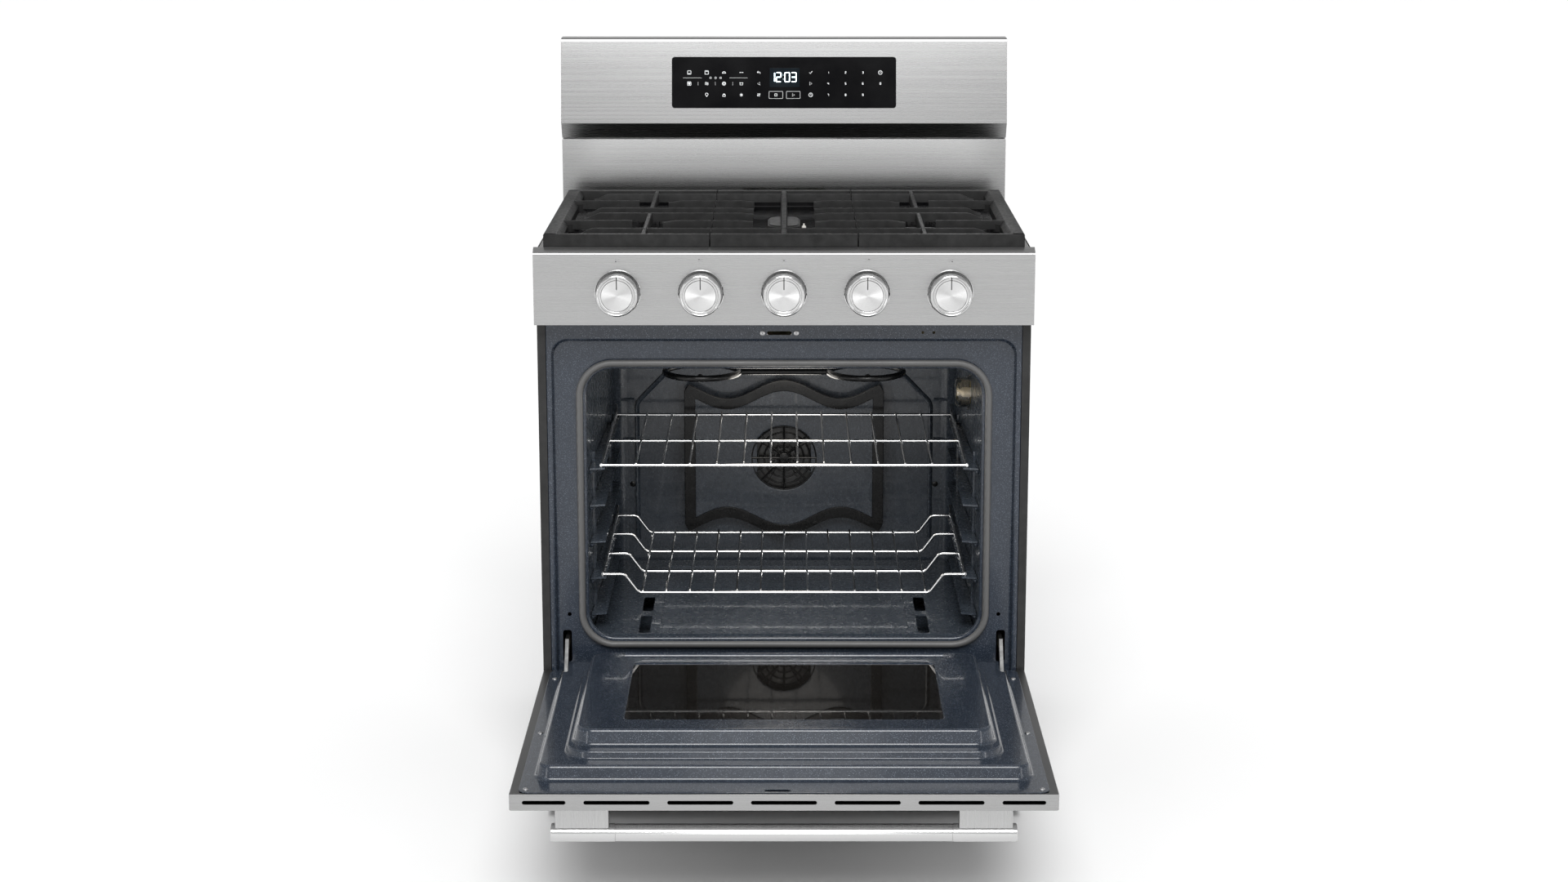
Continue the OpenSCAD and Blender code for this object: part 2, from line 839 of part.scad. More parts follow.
module oven_floor() {
    d0 = liner_front + 12;
    d1 = liner_back - 10;
    slot_x = wall_hw(liner_back) - 70;
    color([0.1, 0.11, 0.12]) difference() {
        translate([0, 0, floor_z - 5]) linear_extrude(5) oven_plan(-floor_gap, d0, d1);
        // dished middle, and the hollow under the raised border
        block(
            [-slot_x + 24, back(d0 + 24), floor_z - 3.5],
            [slot_x - 24, back(d1 - 40), floor_z + cut]
        );
        difference() {
            translate([0, 0, floor_z - 5 - cut])
                linear_extrude(3.5 + cut) oven_plan(-floor_gap - 2, d0 + 2, d1 - 2);
            block(
                [-slot_x + 22, back(d0 + 22), floor_z - 6 - cut],
                [slot_x - 22, back(d1 - 38), floor_z]
            );
        }
        both_sides() for (d = [[4, 104], [128, 214]]) translate([slot_x, 0, floor_z - 6])
            linear_extrude(8) rounded([-9, back(d0 + d.x)], [9, back(d0 + d.y)], 6);
    }
}

module bake_burner() {
    z = chamber_z + chamber_h / 2;
    front = back(liner_front + 80);
    color("gray") {
        bent_wire([
            [-150, front, z], [-150, back(liner_back - 90), z],
            [150, back(liner_back - 90), z], [150, front, z]
        ], 14);
        wire([0, back(liner_back - 90), z], [0, back(liner_back + 25), z], 18);
    }
}

broil_z = oven_top - 20;
probe_x = 200;
probe_z = oven_top - 28;

module broil_burner() {
    ring_r = 58;
    ring_x = 129;
    ring_y = back(liner_front + 78);
    t = 10;
    color("black") {
        wire([0, ring_y, broil_z], [0, back(liner_back + 25), broil_z], 12);
        both_sides() {
            translate([ring_x, ring_y, broil_z]) rotate_extrude()
                translate([ring_r, 0]) circle(d = t);
            wire([0, ring_y, broil_z], [ring_x - ring_r, ring_y, broil_z], t);
        }
    }
}

baffle_hw = 171;
baffle_hh = 131;
baffle_deep = 26;
band_w = 19;
grille_r = 56;
baffle_steps = 48;

// Height of the baffle's scalloped edge above the fan, at x
function scallop(x) = baffle_hh - 10 + 16 * cos(360 * x / 195);

// Scalloped outline of the baffle, g inside its edge
module baffle_outline(g) {
    hw = baffle_hw - g;
    xs = [for (i = [0 : baffle_steps]) -hw + 2 * hw * i / baffle_steps];
    corner = 24;
    intersection() {
        translate([0, fan_z]) polygon(concat(
            [for (x = xs) [x, scallop(x) - g]],
            [for (i = [baffle_steps : -1 : 0]) [xs[i], g - scallop(xs[i])]]
        ));
        rounded([-hw, fan_z - baffle_hh - 10], [hw, fan_z + baffle_hh + 10], corner);
    }
}

module fan_baffle() {
    t = 1.5;
    front = liner_back - baffle_deep;
    color([0.13, 0.14, 0.16]) {
        upright(front, t) difference() {
            baffle_outline(0);
            translate([0, fan_z]) circle(r = grille_r);
        }
        // raised band around the edge
        upright(front - 4, 4 + t) difference() {
            baffle_outline(0);
            baffle_outline(band_w);
        }
        // round grille in front of the fan
        upright(front, t) translate([0, fan_z]) {
            for (r = [12 : 11 : grille_r]) difference() {
                circle(r = r + 2);
                circle(r = r - 2);
            }
            difference() {
                circle(r = grille_r + 1);
                circle(r = grille_r - 2);
            }
            for (a = [0 : 45 : 135]) rotate(a) square([2 * grille_r, 3], center = true);
        }
        // feet that hold it off the back wall
        for (x = [-140, 140], z = [-70, 70]) translate([x, back(front + t - 0.5), fan_z + z])
            rotate([-90, 0, 0]) cylinder(h = baffle_deep - t - seat + 0.5, d = 10);
    }
}

module convection_fan() {
    blades = 12;
    hub_r = 16;
    blade_r = 64;
    deep = 12;
    color("silver") translate([0, back(liner_back - 5 - deep), fan_z]) rotate([-90, 0, 0]) {
        translate([0, 0, deep - 1.5]) cylinder(h = 1.5, r = blade_r);
        cylinder(h = deep, r = hub_r);
        for (i = [0 : blades - 1]) rotate(360 * i / blades)
            translate([hub_r - 1, -0.75, 0]) cube([blade_r - hub_r, 1.5, deep]);
        translate([0, 0, deep - 1]) cylinder(h = 50, d = fan_shaft_d);
    }
}

module fan_motor() {
    front = liner_back + 18;
    color("dimgray") difference() {
        union() {
            translate([0, back(front), fan_z]) rotate([-90, 0, 0]) cylinder(h = 42, d = 84);
            translate([-60, back(front), fan_z - 14]) cube([120, 2, 28]);
        }
        translate([0, back(front - cut), fan_z]) rotate([-90, 0, 0])
            cylinder(h = 34, d = fan_shaft_d + 2 * running_gap);
    }
}

// Turns +Z to point into the oven from its right wall, at the lamp
module at_lamp() {
    translate([wall_hw(lamp_d), back(lamp_d), lamp_z]) rotate([0, -90, 0]) children();
}

module oven_lamp() {
    color("ivory") at_lamp() {
        translate([0, 0, -30]) cylinder(h = 24, r = lamp_r - 8);
        translate([0, 0, -7]) cylinder(h = 16, r = 8);
        translate([0, 0, 9]) sphere(r = 8);
    }
}

module lamp_lens() {
    color([1, 0.85, 0.5, 0.5]) at_lamp() rotate_extrude() difference() {
        union() {
            translate([0, 1.5]) square([lamp_r + 3, 3]);
            translate([0, 1.5]) square([lamp_r - 2, 16]);
            translate([0, 11]) square([lamp_r - 8, 12.5]);
            translate([lamp_r - 8, 17.5]) circle(r = 6);
        }
        translate([-1, 0]) square([lamp_r - 4, 15]);
        translate([-1, 0]) square([lamp_r - 8, 21]);
        translate([-100, -50]) square([100, 100]);
    }
}

module temperature_probe() {
    color("silver") {
        wire([probe_x, back(liner_back - 95), probe_z], [probe_x, back(liner_back + 6), probe_z], 5);
        wire([probe_x, back(liner_back - 3), probe_z], [probe_x, back(liner_back - seat), probe_z], 22);
    }
}

module insulation() {
    wrap = 26;
    color("khaki") difference() {
        block(
            [-mouth_hw - wrap, back(liner_front + 6), chamber_z - 30],
            [mouth_hw + wrap, back(liner_back + 16), oven_top + 30]
        );
        translate([0, 0, chamber_z - liner_t - seat])
            linear_extrude(oven_top - chamber_z + 2 * (liner_t + seat))
                oven_plan(liner_t + seat, liner_front, liner_back + liner_t + seat);
        for (h = [[fan_z, 16], [chamber_z + chamber_h / 2, 30], [broil_z, 24]])
            translate([0, back(liner_back), h.x]) rotate([-90, 0, 0]) cylinder(h = 30, d = h.y);
        translate([probe_x, back(liner_back), probe_z]) rotate([-90, 0, 0])
            cylinder(h = 30, d = 12);
        translate([mouth_hw - 20, back(lamp_d), lamp_z]) rotate([0, 90, 0])
            cylinder(h = 80, r = lamp_r - 2);
    }
}

// ---------------------------------------------------------------- racks
ledge_w = 11;
ledge_h = 3;
rack_gap = 2.5; // clearance of a rack from each side wall
rack_hw = mouth_hw - oven_draft - rack_gap;
rack_front = field_back + 34;
rack_rear = liner_back - baffle_deep - 12;
upper_level = rack_levels - 1;
lower_level = upper_level - 3;
function level_z(i) = floor_z + rack_first + i * rack_pitch;

// Ledges pressed into the side walls, behind the raised field of the closed door
module rack_guides() {
    front = hinge_back + plateau + 4;
    color([0.22, 0.24, 0.27]) both_sides() for (i = [0 : rack_levels - 1])
        translate([0, 0, level_z(i) - wire_d / 2 - ledge_h - seat]) linear_extrude(ledge_h)
            polygon([
                [-wall_hw(front) + seat, back(front)],
                [-wall_hw(rack_rear) + seat, back(rack_rear)],
                [-rack_hw + ledge_w - 2, back(rack_rear)],
                [-rack_hw + ledge_w - 2, back(front)]
            ]);
}

// Side wires of a rack with its rear stop
module rack_side(z) {
    x = rack_hw - wire_d / 2;
    bent_wire([
        [-x, back(rack_front), z], [-x, back(rack_rear - 16), z],
        [-x, back(rack_rear - wire_d / 2), z + 14]
    ], wire_d);
}

upper_rods = 12;
module rack_upper() {
    z = level_z(upper_level);
    span = (rack_hw - wire_d / 2) * 2;
    rails = [rack_front, rack_front + (rack_rear - rack_front) * 0.44, rack_rear - 20];
    pitch = span / (upper_rods + 1.55);
    color("silver") {
        both_sides() rack_side(z);
        for (d = rails) wire([-span / 2, back(d), z], [span / 2, back(d), z], wire_d - 1);
        for (i = [0 : upper_rods - 1]) {
            x = (i - (upper_rods - 1) / 2) * pitch;
            bent_wire([
                [x, back(rack_front), z], [x, back(rack_front), z + wire_d / 2 + 1],
                [x, back(rack_rear - 20), z + wire_d / 2 + 1]
            ], rod_d);
        }
    }
}

lower_rods = 13;
module rack_lower() {
    z = level_z(lower_level);
    low = z - rack_drop;
    x = rack_hw - wire_d / 2;
    flat = 34; // length of each side flat
    fall = 22; // width of the bend down
    floor_x = x - flat - fall;
    pitch = 2 * floor_x / (lower_rods - 0.66);
    rail_n = 4;
    // half of a cross rail's bends, from the side to the dropped floor
    bends = [
        [x, z], [x - flat + 4, z], [x - flat - 4, z - 4],
        [floor_x + 5, low + 5], [floor_x - 4, low]
    ];
    color("silver") {
        both_sides() rack_side(z);
        for (i = [0 : rail_n - 1]) {
            y = back(rack_front + i * (rack_rear - 20 - rack_front) / (rail_n - 1));
            bent_wire(concat(
                [for (b = bends) [-b.x, y, b.y]],
                [for (k = [len(bends) - 1 : -1 : 0]) [bends[k].x, y, bends[k].y]]
            ), wire_d - 1);
        }
        for (i = [0 : lower_rods - 1]) {
            rx = (i - (lower_rods - 1) / 2) * pitch;
            bent_wire([
                [rx, back(rack_front), low], [rx, back(rack_front), low + wire_d / 2 + 1],
                [rx, back(rack_rear - 20), low + wire_d / 2 + 1]
            ], rod_d);
        }
    }
}

// ---------------------------------------------------------------- door latch

// Hook that swings out through the frame and into the door, on a stud that turns in its bracket
module door_latch() {
    color("silver") translate([0, 0, latch_z - latch_t / 2]) {
        linear_extrude(latch_t) {
            translate([latch_pivot_x, back(latch_pivot_back)]) circle(r = 9);
            translate([latch_x - 10, back(latch_pivot_back) - 6])
                square([latch_pivot_x - latch_x + 10, 12]);
            translate([latch_x - 16, back(latch_pivot_back) - 14]) square([10, 20]);
        }
        translate([latch_pivot_x, back(latch_pivot_back), -8])
            cylinder(h = 9, d = latch_stud_d);
    }
}

// ---------------------------------------------------------------- door
// The open door lies flat.  Inside on_door, -Y runs from the hinge to the top of the door and +Z
// from its outer face to the oven side, both counted from the hinge pin.
skin_t = 1.2;
outer_v = -hinge_back;
edge_v = outer_v + door_t;
pan_t = 1.5;
shelf_1 = edge_v + step_1;
shelf_2 = shelf_1 + step_2;
plateau = shelf_2 + step_3;
pan_1 = [mouth_hw + 40, 4, door_up - 53];   // half width, near end, far end
pan_2 = [mouth_hw + 2, 54, door_up - 84];
pan_3 = [mouth_hw - 9, 64, door_up - 110];
window_near = 127;
window_far = door_up - 160;
vent_n = 7;
vent_slot = 91;
vent_pitch = (2 * door_hw - 90) / (vent_n - 1) + 4;
vent_h = 5.6;

module on_door() {
    translate([0, hinge_y, hinge_z]) children();
}

pan_2_r = mouth_r - 4; // clears the corners of the seal

// A step of the pan: half width, near and far ends, drawn g inside
module pan_outline(p, r, g) {
    rounded([-p.x + g, -p.z + g], [p.x - g, -p.y - g], r);
}

module pan_stack(g) {
    translate([0, 0, edge_v - cut * sign(g)])
        linear_extrude(step_1 - g + cut * sign(g)) pan_outline(pan_1, 22, g);
    translate([0, 0, shelf_1 - g - 0.01]) linear_extrude(step_2 + 0.01) pan_outline(pan_2, pan_2_r, g);
    translate([0, 0, shelf_2 - g - 0.01]) linear_extrude(step_3 + 0.01) pan_outline(pan_3, 15, g);
}

module door_inner_panel() {
    rib_z = plateau - 1;
    color([0.25, 0.28, 0.31]) on_door() difference() {
        union() {
            difference() {
                union() {
                    pan_stack(0);
                    translate([-door_hw + skin_t + seat, -door_up + skin_t + seat, edge_v])
                        cube([2 * (door_hw - skin_t - seat),
                              door_up + door_down - 2 * (skin_t + seat), pan_t]);
                }
                pan_stack(pan_t);
            }
            // pressed rib beside the window
            translate([-window_hw - 18, -pan_3.y - 26, rib_z])
                cube([2 * window_hw + 36, 10, 3]);
        }
        translate([0, 0, shelf_2]) linear_extrude(step_3 + 10)
            rounded([-window_hw, -window_far], [window_hw, -window_near], 8);
        both_sides() translate([arm_x - arm_slot_w / 2, -arm_reach - 8, edge_v - cut])
            cube([arm_slot_w, arm_reach + 38, 45]);
        // catch for the latch
        translate([latch_x - 20, hinge_z - latch_z - 4, edge_v - cut]) cube([36, 8, 6]);
    }
}

module inner_glass() {
    t = 5;
    lap = 9;
    color([0.1, 0.08, 0.07, 0.6]) on_door() translate([0, 0, plateau - pan_t - t - 0.1])
        linear_extrude(t) rounded(
            [-window_hw - lap, -window_far - lap], [window_hw + lap, -window_near + lap], 8
        );
}

module outer_glass() {
    t = 4;
    lap = 14;
    color([0.05, 0.05, 0.06, 0.8]) on_door() translate([0, 0, outer_v + skin_t + 0.1])
        linear_extrude(t) rounded(
            [-window_hw - lap, -window_far - lap], [window_hw + lap, -window_near + lap], 8
        );
}

module door_skin() {
    color("silver") on_door() difference() {
        translate([-door_hw, -door_up, outer_v]) cube([2 * door_hw, door_up + door_down, door_t]);
        translate([-door_hw + skin_t, -door_up + skin_t, outer_v + skin_t])
            cube([2 * (door_hw - skin_t), door_up + door_down - 2 * skin_t, door_t]);
        translate([0, 0, outer_v - cut]) linear_extrude(4)
            rounded([-window_hw, -window_far], [window_hw, -window_near], 8);
        // vent slots along the top edge
        for (i = [0 : vent_n - 1]) {
            w = i == 0 || i == vent_n - 1 ? vent_slot - 31 : vent_slot;
            inward = i == 0 ? 15 : (i == vent_n - 1 ? -15 : 0);
            translate([(i - (vent_n - 1) / 2) * vent_pitch + inward, -door_up, edge_v - 12])
                cube([w, 4 * skin_t, vent_h], center = true);
        }
        both_sides() translate([arm_x - arm_slot_w / 2, door_down - 4, -13])
            cube([arm_slot_w, 10, 30]);
    }
}

handle_u = door_up - handle_down;
handle_v = outer_v - handle_out + handle_d / 2;
post_w = 75;
post_t = 26;
post_in = handle_l / 2 - 82;
post_low = outer_v - handle_out + handle_d - 2;

module handle_bar() {
    sleeve = 90;
    color("silver") on_door() translate([0, -handle_u, handle_v]) rotate([0, 90, 0]) {
        cylinder(h = handle_l, d = handle_d, center = true);
        for (s = [-1, 1]) translate([0, 0, s * (handle_l - sleeve) / 2])
            cylinder(h = sleeve, d = handle_d + 1, center = true);
    }
}

module handle_posts() {
    color("silver") on_door() difference() {
        both_sides() translate([post_in, -handle_u - post_t / 2, post_low])
            cube([post_w, post_t, outer_v - post_low - 0.05]);
        translate([0, -handle_u, handle_v]) rotate([0, 90, 0])
            cylinder(h = body_w, d = handle_d + 1 + 2 * seat, center = true);
    }
}

// ---------------------------------------------------------------- door hinges
arm_t = 6;
channel_t = 2.5;
channel_gap = 1;

// Outline of an arm in Y and Z: from the pin, back and up through the frame to its hook
module arm_outline() {
    r = 8;
    hook_z = hinge_z + arm_reach;
    inside = back(field_back + 4);
    translate([hinge_y, hinge_z]) circle(r = r);
    polygon([
        [hinge_y - 5, hinge_z + 6], [back(frame_back + 2), hook_z],
        [inside + 32, hook_z], [inside + 32, hook_z - 18],
        [back(field_back - 4), hook_z - 18], [hinge_y + 6, hinge_z - 5]
    ]);
}

module hinge_arms() {
    pin_l = arm_t + 2 * (channel_gap + channel_t) + 3;
    color("silver") both_sides() translate([arm_x, 0, 0]) {
        across(arm_t) arm_outline();
        translate([-pin_l / 2, hinge_y, hinge_z]) rotate([0, 90, 0]) cylinder(h = pin_l, d = pin_d);
    }
}

module hinge_channels() {
    inner = arm_t / 2 + channel_gap;
    low = outer_v + skin_t + seat;
    high = edge_v - seat;
    color("gray") on_door() both_sides() translate([arm_x, 0, 0]) {
        for (s = [-1, 1]) difference() {
            translate([s > 0 ? inner : -inner - channel_t, -130, low])
                cube([channel_t, 130 + door_down - skin_t - 2, high - low]);
            rotate([0, 90, 0])
                cylinder(h = 40, d = pin_d + 2 * running_gap, center = true);
        }
        translate([-inner - 0.5, -130, low]) cube([2 * inner + 1, 90, channel_t]);
    }
}

// ---------------------------------------------------------------- drawer
drawer_front_back = 4;
box_front = drawer_front_back + drawer_t;
box_low = foot_gap + rail_h + 6;
box_high = drawer_top - 20;
runner_z = box_low + 40;
runner_h = 14;
box_hw = half_w - 32;
box_t = 1;

module drawer_front() {
    t = 1.2;
    d0 = drawer_front_back;
    low = foot_gap + 1;
    color([0.3, 0.3, 0.31]) difference() {
        block([-drawer_hw, back(d0), low], [drawer_hw, back(box_front), drawer_top]);
        block(
            [-drawer_hw + t, back(d0 + t), low + t],
            [drawer_hw - t, back(box_front - t), drawer_top - t]
        );
    }
}

module drawer_box() {
    color("gray") {
        difference() {
            block(
                [-box_hw, back(box_front + 0.05), box_low],
                [box_hw, back(box_front + drawer_l), box_high]
            );
            block(
                [-box_hw + box_t, back(box_front + box_t), box_low + box_t],
                [box_hw - box_t, back(box_front + drawer_l - box_t), box_high + cut]
            );
        }
        // runners on the sides
        both_sides() block(
            [box_hw - 0.1, back(box_front + 60), runner_z],
            [box_hw + 10, back(box_front + drawer_l - 10), runner_z + runner_h]
        );
    }
}

module drawer_rails() {
    in = box_hw + 10 + 1;
    gap = 0.5;
    t = 2;
    color("dimgray") both_sides() {
        // a channel around the runner, open towards the drawer
        block(
            [in - 8, back(liner_front + 8), runner_z - t - gap],
            [in + t, back(body_d - 60), runner_z - gap]
        );
        block(
            [in - 8, back(liner_front + 8), runner_z + runner_h + gap],
            [in + t, back(body_d - 60), runner_z + runner_h + gap + t]
        );
        block(
            [in, back(liner_front + 8), runner_z - t - gap],
            [half_w - sheet_t - seat, back(body_d - 60), runner_z + runner_h + gap + t]
        );
    }
}

// ---------------------------------------------------------------- the drawing
base_frame();
leveling_feet();
side_panel_left();
side_panel_right();
rear_panel();
cooktop();
burner_heads();
burner_caps();
igniters();
grate_left();
grate_center();
grate_right();
control_panel();
knob_bezels();
knob(1);  // knob_1
knob(2);  // knob_2
knob(3);  // knob_3
knob(4);  // knob_4
knob(5);  // knob_5
stem(1);  // stem_1
stem(2);  // stem_2
stem(3);  // stem_3
stem(4);  // stem_4
stem(5);  // stem_5
gas_valves();
manifold_pipe();
gas_lines();
pressure_regulator();
backguard_panel();
console_housing();
control_glass();
control_board();
oven_liner();
front_frame();
door_gasket();
oven_floor();
bake_burner();
broil_burner();
fan_baffle();
convection_fan();
fan_motor();
oven_lamp();
lamp_lens();
temperature_probe();
insulation();
rack_guides();
rack_upper();
rack_lower();
door_latch();
door_skin();
door_inner_panel();
inner_glass();
outer_glass();
handle_bar();
handle_posts();
hinge_arms();
hinge_channels();
drawer_front();
drawer_box();
drawer_rails();
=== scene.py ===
import json
from math import atan, cos, hypot, pi, radians, sin

import bmesh
import bpy
from mathutils import Matrix, Vector

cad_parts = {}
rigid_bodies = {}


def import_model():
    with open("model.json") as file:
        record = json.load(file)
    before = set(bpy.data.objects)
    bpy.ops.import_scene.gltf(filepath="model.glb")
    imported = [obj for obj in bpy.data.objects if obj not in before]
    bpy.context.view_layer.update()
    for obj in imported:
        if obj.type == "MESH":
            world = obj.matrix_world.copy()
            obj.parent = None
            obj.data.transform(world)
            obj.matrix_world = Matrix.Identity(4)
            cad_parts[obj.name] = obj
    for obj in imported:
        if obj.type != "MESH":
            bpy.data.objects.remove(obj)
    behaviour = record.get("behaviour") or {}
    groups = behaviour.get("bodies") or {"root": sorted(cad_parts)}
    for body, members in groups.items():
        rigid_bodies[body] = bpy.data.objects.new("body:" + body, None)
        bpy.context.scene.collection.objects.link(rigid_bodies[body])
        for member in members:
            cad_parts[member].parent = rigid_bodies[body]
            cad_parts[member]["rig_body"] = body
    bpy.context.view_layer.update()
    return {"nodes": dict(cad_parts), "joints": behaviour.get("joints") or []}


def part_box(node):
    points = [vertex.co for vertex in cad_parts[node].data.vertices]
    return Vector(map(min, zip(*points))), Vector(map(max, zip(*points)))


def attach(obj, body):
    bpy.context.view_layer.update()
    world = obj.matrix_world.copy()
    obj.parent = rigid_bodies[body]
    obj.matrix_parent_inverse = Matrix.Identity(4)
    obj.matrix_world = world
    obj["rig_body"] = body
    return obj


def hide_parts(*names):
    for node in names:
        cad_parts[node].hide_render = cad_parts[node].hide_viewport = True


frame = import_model()

# Shapes are built in millimetres and turned into metres when a piece is made.
MM = 0.001
CREASE = radians(35)  # edges sharper than this stay sharp
SIDES = (-1, 1)  # left and right
TO_FRONT = Matrix.Rotation(pi / 2, 4, "X")  # turns +Z towards the front
TO_RIGHT = Matrix.Rotation(pi / 2, 4, "Y")  # turns +Z towards +X


def box(node):
    """Lowest and highest corner of a CAD node, in millimetres."""
    lo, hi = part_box(node)
    return lo / MM, hi / MM


def middle(node):
    lo, hi = box(node)
    return (lo + hi) / 2


def placed(point, turn=TO_FRONT):
    """The matrix that turns a shape and then moves it to point."""
    return Matrix.Translation(point) @ turn


# ---- shapes
def arc(cx, cy, r, a0=0, a1=360, steps=16):
    turn = [radians(a0 + (a1 - a0) * i / steps) for i in range(steps + 1)]
    return [(cx + r * cos(t), cy + r * sin(t)) for t in turn]


def rounded(x0, x1, y0, y1, r, steps=8):
    """Points of a rounded rectangle, counter-clockwise."""
    corners = ((x1 - r, y0 + r), (x1 - r, y1 - r), (x0 + r, y1 - r), (x0 + r, y0 + r))
    points = []
    for quarter, (cx, cy) in enumerate(corners, -1):
        points += arc(cx, cy, r, 90 * quarter, 90 * quarter + 90, steps)
    return points


def loft(bm, rings, first=False, last=False, finish=0, loop=False):
    """Skin over rings of points; first and last close its ends."""
    rows = [[bm.verts.new(p) for p in ring] for ring in rings]
    for a, b in zip(rows, rows[1:] + rows[:1] if loop else rows[1:]):
        for i in range(len(a)):
            j = (i + 1) % len(a)
            bm.faces.new((a[i], a[j], b[j], b[i])).material_index = finish
    if first:
        bm.faces.new(rows[0][::-1]).material_index = finish
    if last:
        bm.faces.new(rows[-1]).material_index = finish


def closed(bm, rings):
    """A loft with both ends closed."""
    loft(bm, rings, first=True, last=True)


def weld(bm, gap=1e-4):
    bmesh.ops.remove_doubles(bm, verts=bm.verts, dist=gap)


def resize(bm, k):
    bmesh.ops.scale(bm, vec=(k, k, k), verts=bm.verts)


def round_edges(bm, edges, r, steps=2, clamp=False):
    bmesh.ops.bevel(
        bm, geom=edges, offset=r, segments=steps, profile=0.5, affect="EDGES", clamp_overlap=clamp
    )


def lathe(bm, profile, at=Matrix(), steps=64, loop=False):
    """Turns a profile of (radius, height) about +Z, then places it with at."""
    for ends in zip(profile, profile[1:] + profile[:1] if loop else profile[1:]):
        rows = []
        for r, h in ends:
            turn = [2 * pi * i / steps for i in range(steps)] if r else [0]
            rows.append([bm.verts.new(at @ Vector((r * cos(t), r * sin(t), h))) for t in turn])
        for i in range(steps):
            j = (i + 1) % steps
            spots = (rows[0], i), (rows[0], j), (rows[1], j), (rows[1], i)
            corners = [row[k % len(row)] for row, k in spots]
            bm.faces.new(list(dict.fromkeys(corners)))
    weld(bm)


def bent(points, r, steps=6):
    """A path whose corners are arcs of radius r, or less where there is no room."""
    points = [Vector(p) for p in points]
    path = [points[0]]
    for a, p, b in zip(points, points[1:], points[2:]):
        u, v = (a - p).normalized(), (b - p).normalized()
        half = u.angle(v) / 2
        room = min((a - p).length, (b - p).length) / 2
        back = min(r / max(1e-6, abs(sin(half) / cos(half))), room)
        for i in range(steps + 1):
            t = i / steps
            path.append(p + u * back * (1 - t) ** 2 + v * back * t ** 2)
    return path + [points[-1]]


def tube(bm, path, r, sides=10, loop=False, flat=1.0):
    """A wire of radius r along a path; flat squeezes its section."""
    path = [Vector(p) for p in path]
    count = len(path)
    up = None
    rings = []
    for i, p in enumerate(path):
        ahead = path[(i + 1) % count] if loop or i < count - 1 else p
        behind = path[i - 1] if loop or i else p
        along = (ahead - behind).normalized()
        if up is None:
            up = along.orthogonal().normalized()
        up = (up - along * up.dot(along)).normalized()
        side = along.cross(up)
        turn = [2 * pi * k / sides for k in range(sides)]
        rings.append([p + up * r * cos(t) + side * r * flat * sin(t) for t in turn])
    loft(bm, rings, first=not loop, last=not loop, loop=loop)


def slab(bm, lo, hi, r=0.0, at=Matrix()):
    """A block between two corners with its edges rounded by r."""
    lo, hi = Vector(lo), Vector(hi)
    part = bmesh.new()
    bmesh.ops.create_cube(part, size=1)
    for v in part.verts:
        v.co = Vector(((lo[k] + hi[k]) / 2 + v.co[k] * (hi[k] - lo[k]) for k in range(3)))
    if r:
        round_edges(part, part.edges[:], r)
    join(bm, part, at)


def prism(bm, outline, z0, z1, r=0.0, at=Matrix()):
    """An outline of (x, y) raised from z0 to z1, with its upper edge rounded by r."""
    part = bmesh.new()
    closed(part, [[(x, y, z) for x, y in outline] for z in (z0, z1)])
    if r:
        top = [e for e in part.edges if all(abs(v.co.z - z1) < 1e-6 for v in e.verts)]
        round_edges(part, top, r)
    join(bm, part, at)


def mesh_from(name, bm):
    """A mesh made of bm, which is used up."""
    mesh = bpy.data.meshes.new(name)
    bm.to_mesh(mesh)
    bm.free()
    return mesh


def linked(name, data):
    """A new object in the scene."""
    obj = bpy.data.objects.new(name, data)
    bpy.context.scene.collection.objects.link(obj)
    return obj


def join(bm, part, at):
    """Adds a part to bm, placed with at."""
    bmesh.ops.transform(part, matrix=at, verts=part.verts)
    mesh = mesh_from("part", part)
    bm.from_mesh(mesh)
    bpy.data.meshes.remove(mesh)


def plain_object(bm):
    """A bare object for modifiers; bm is used up."""
    bmesh.ops.recalc_face_normals(bm, faces=bm.faces)
    return linked("work", mesh_from("work", bm))


def worked(bm, thickness, cutter=None, inward=-1):
    """bm given a wall thickness and then cut with cutter."""
    obj, tool = plain_object(bm), None
    wall = obj.modifiers.new("wall", "SOLIDIFY")
    wall.thickness, wall.offset, wall.use_even_offset = thickness, inward, True
    if cutter:
        tool = plain_object(cutter)
        hole = obj.modifiers.new("hole", "BOOLEAN")
        hole.object, hole.solver, hole.use_self = tool, "EXACT", True
    graph = bpy.context.evaluated_depsgraph_get()
    mesh = bpy.data.meshes.new_from_object(obj.evaluated_get(graph))
    made = bmesh.new()
    made.from_mesh(mesh)
    bpy.data.meshes.remove(mesh)
    for o in filter(None, (obj, tool)):
        bpy.data.meshes.remove(o.data)  # and the object with it
    return made


def piece(name, bm, finishes, body, stands_for=()):
    """Makes bm, which is in millimetres, a piece of the object."""
    bmesh.ops.recalc_face_normals(bm, faces=bm.faces)
    resize(bm, MM)
    for e in bm.edges:
        e.smooth = len(e.link_faces) == 2 and e.calc_face_angle(0) < CREASE
    for f in bm.faces:
        f.smooth = True
    mesh = mesh_from(name, bm)
    for m in finishes if isinstance(finishes, list) else [finishes]:
        mesh.materials.append(m)
    obj = linked(name, mesh)
    flat = obj.modifiers.new("flat_faces", "WEIGHTED_NORMAL")
    flat.keep_sharp, flat.weight = True, 80
    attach(obj, body)
    if stands_for:
        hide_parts(*stands_for)


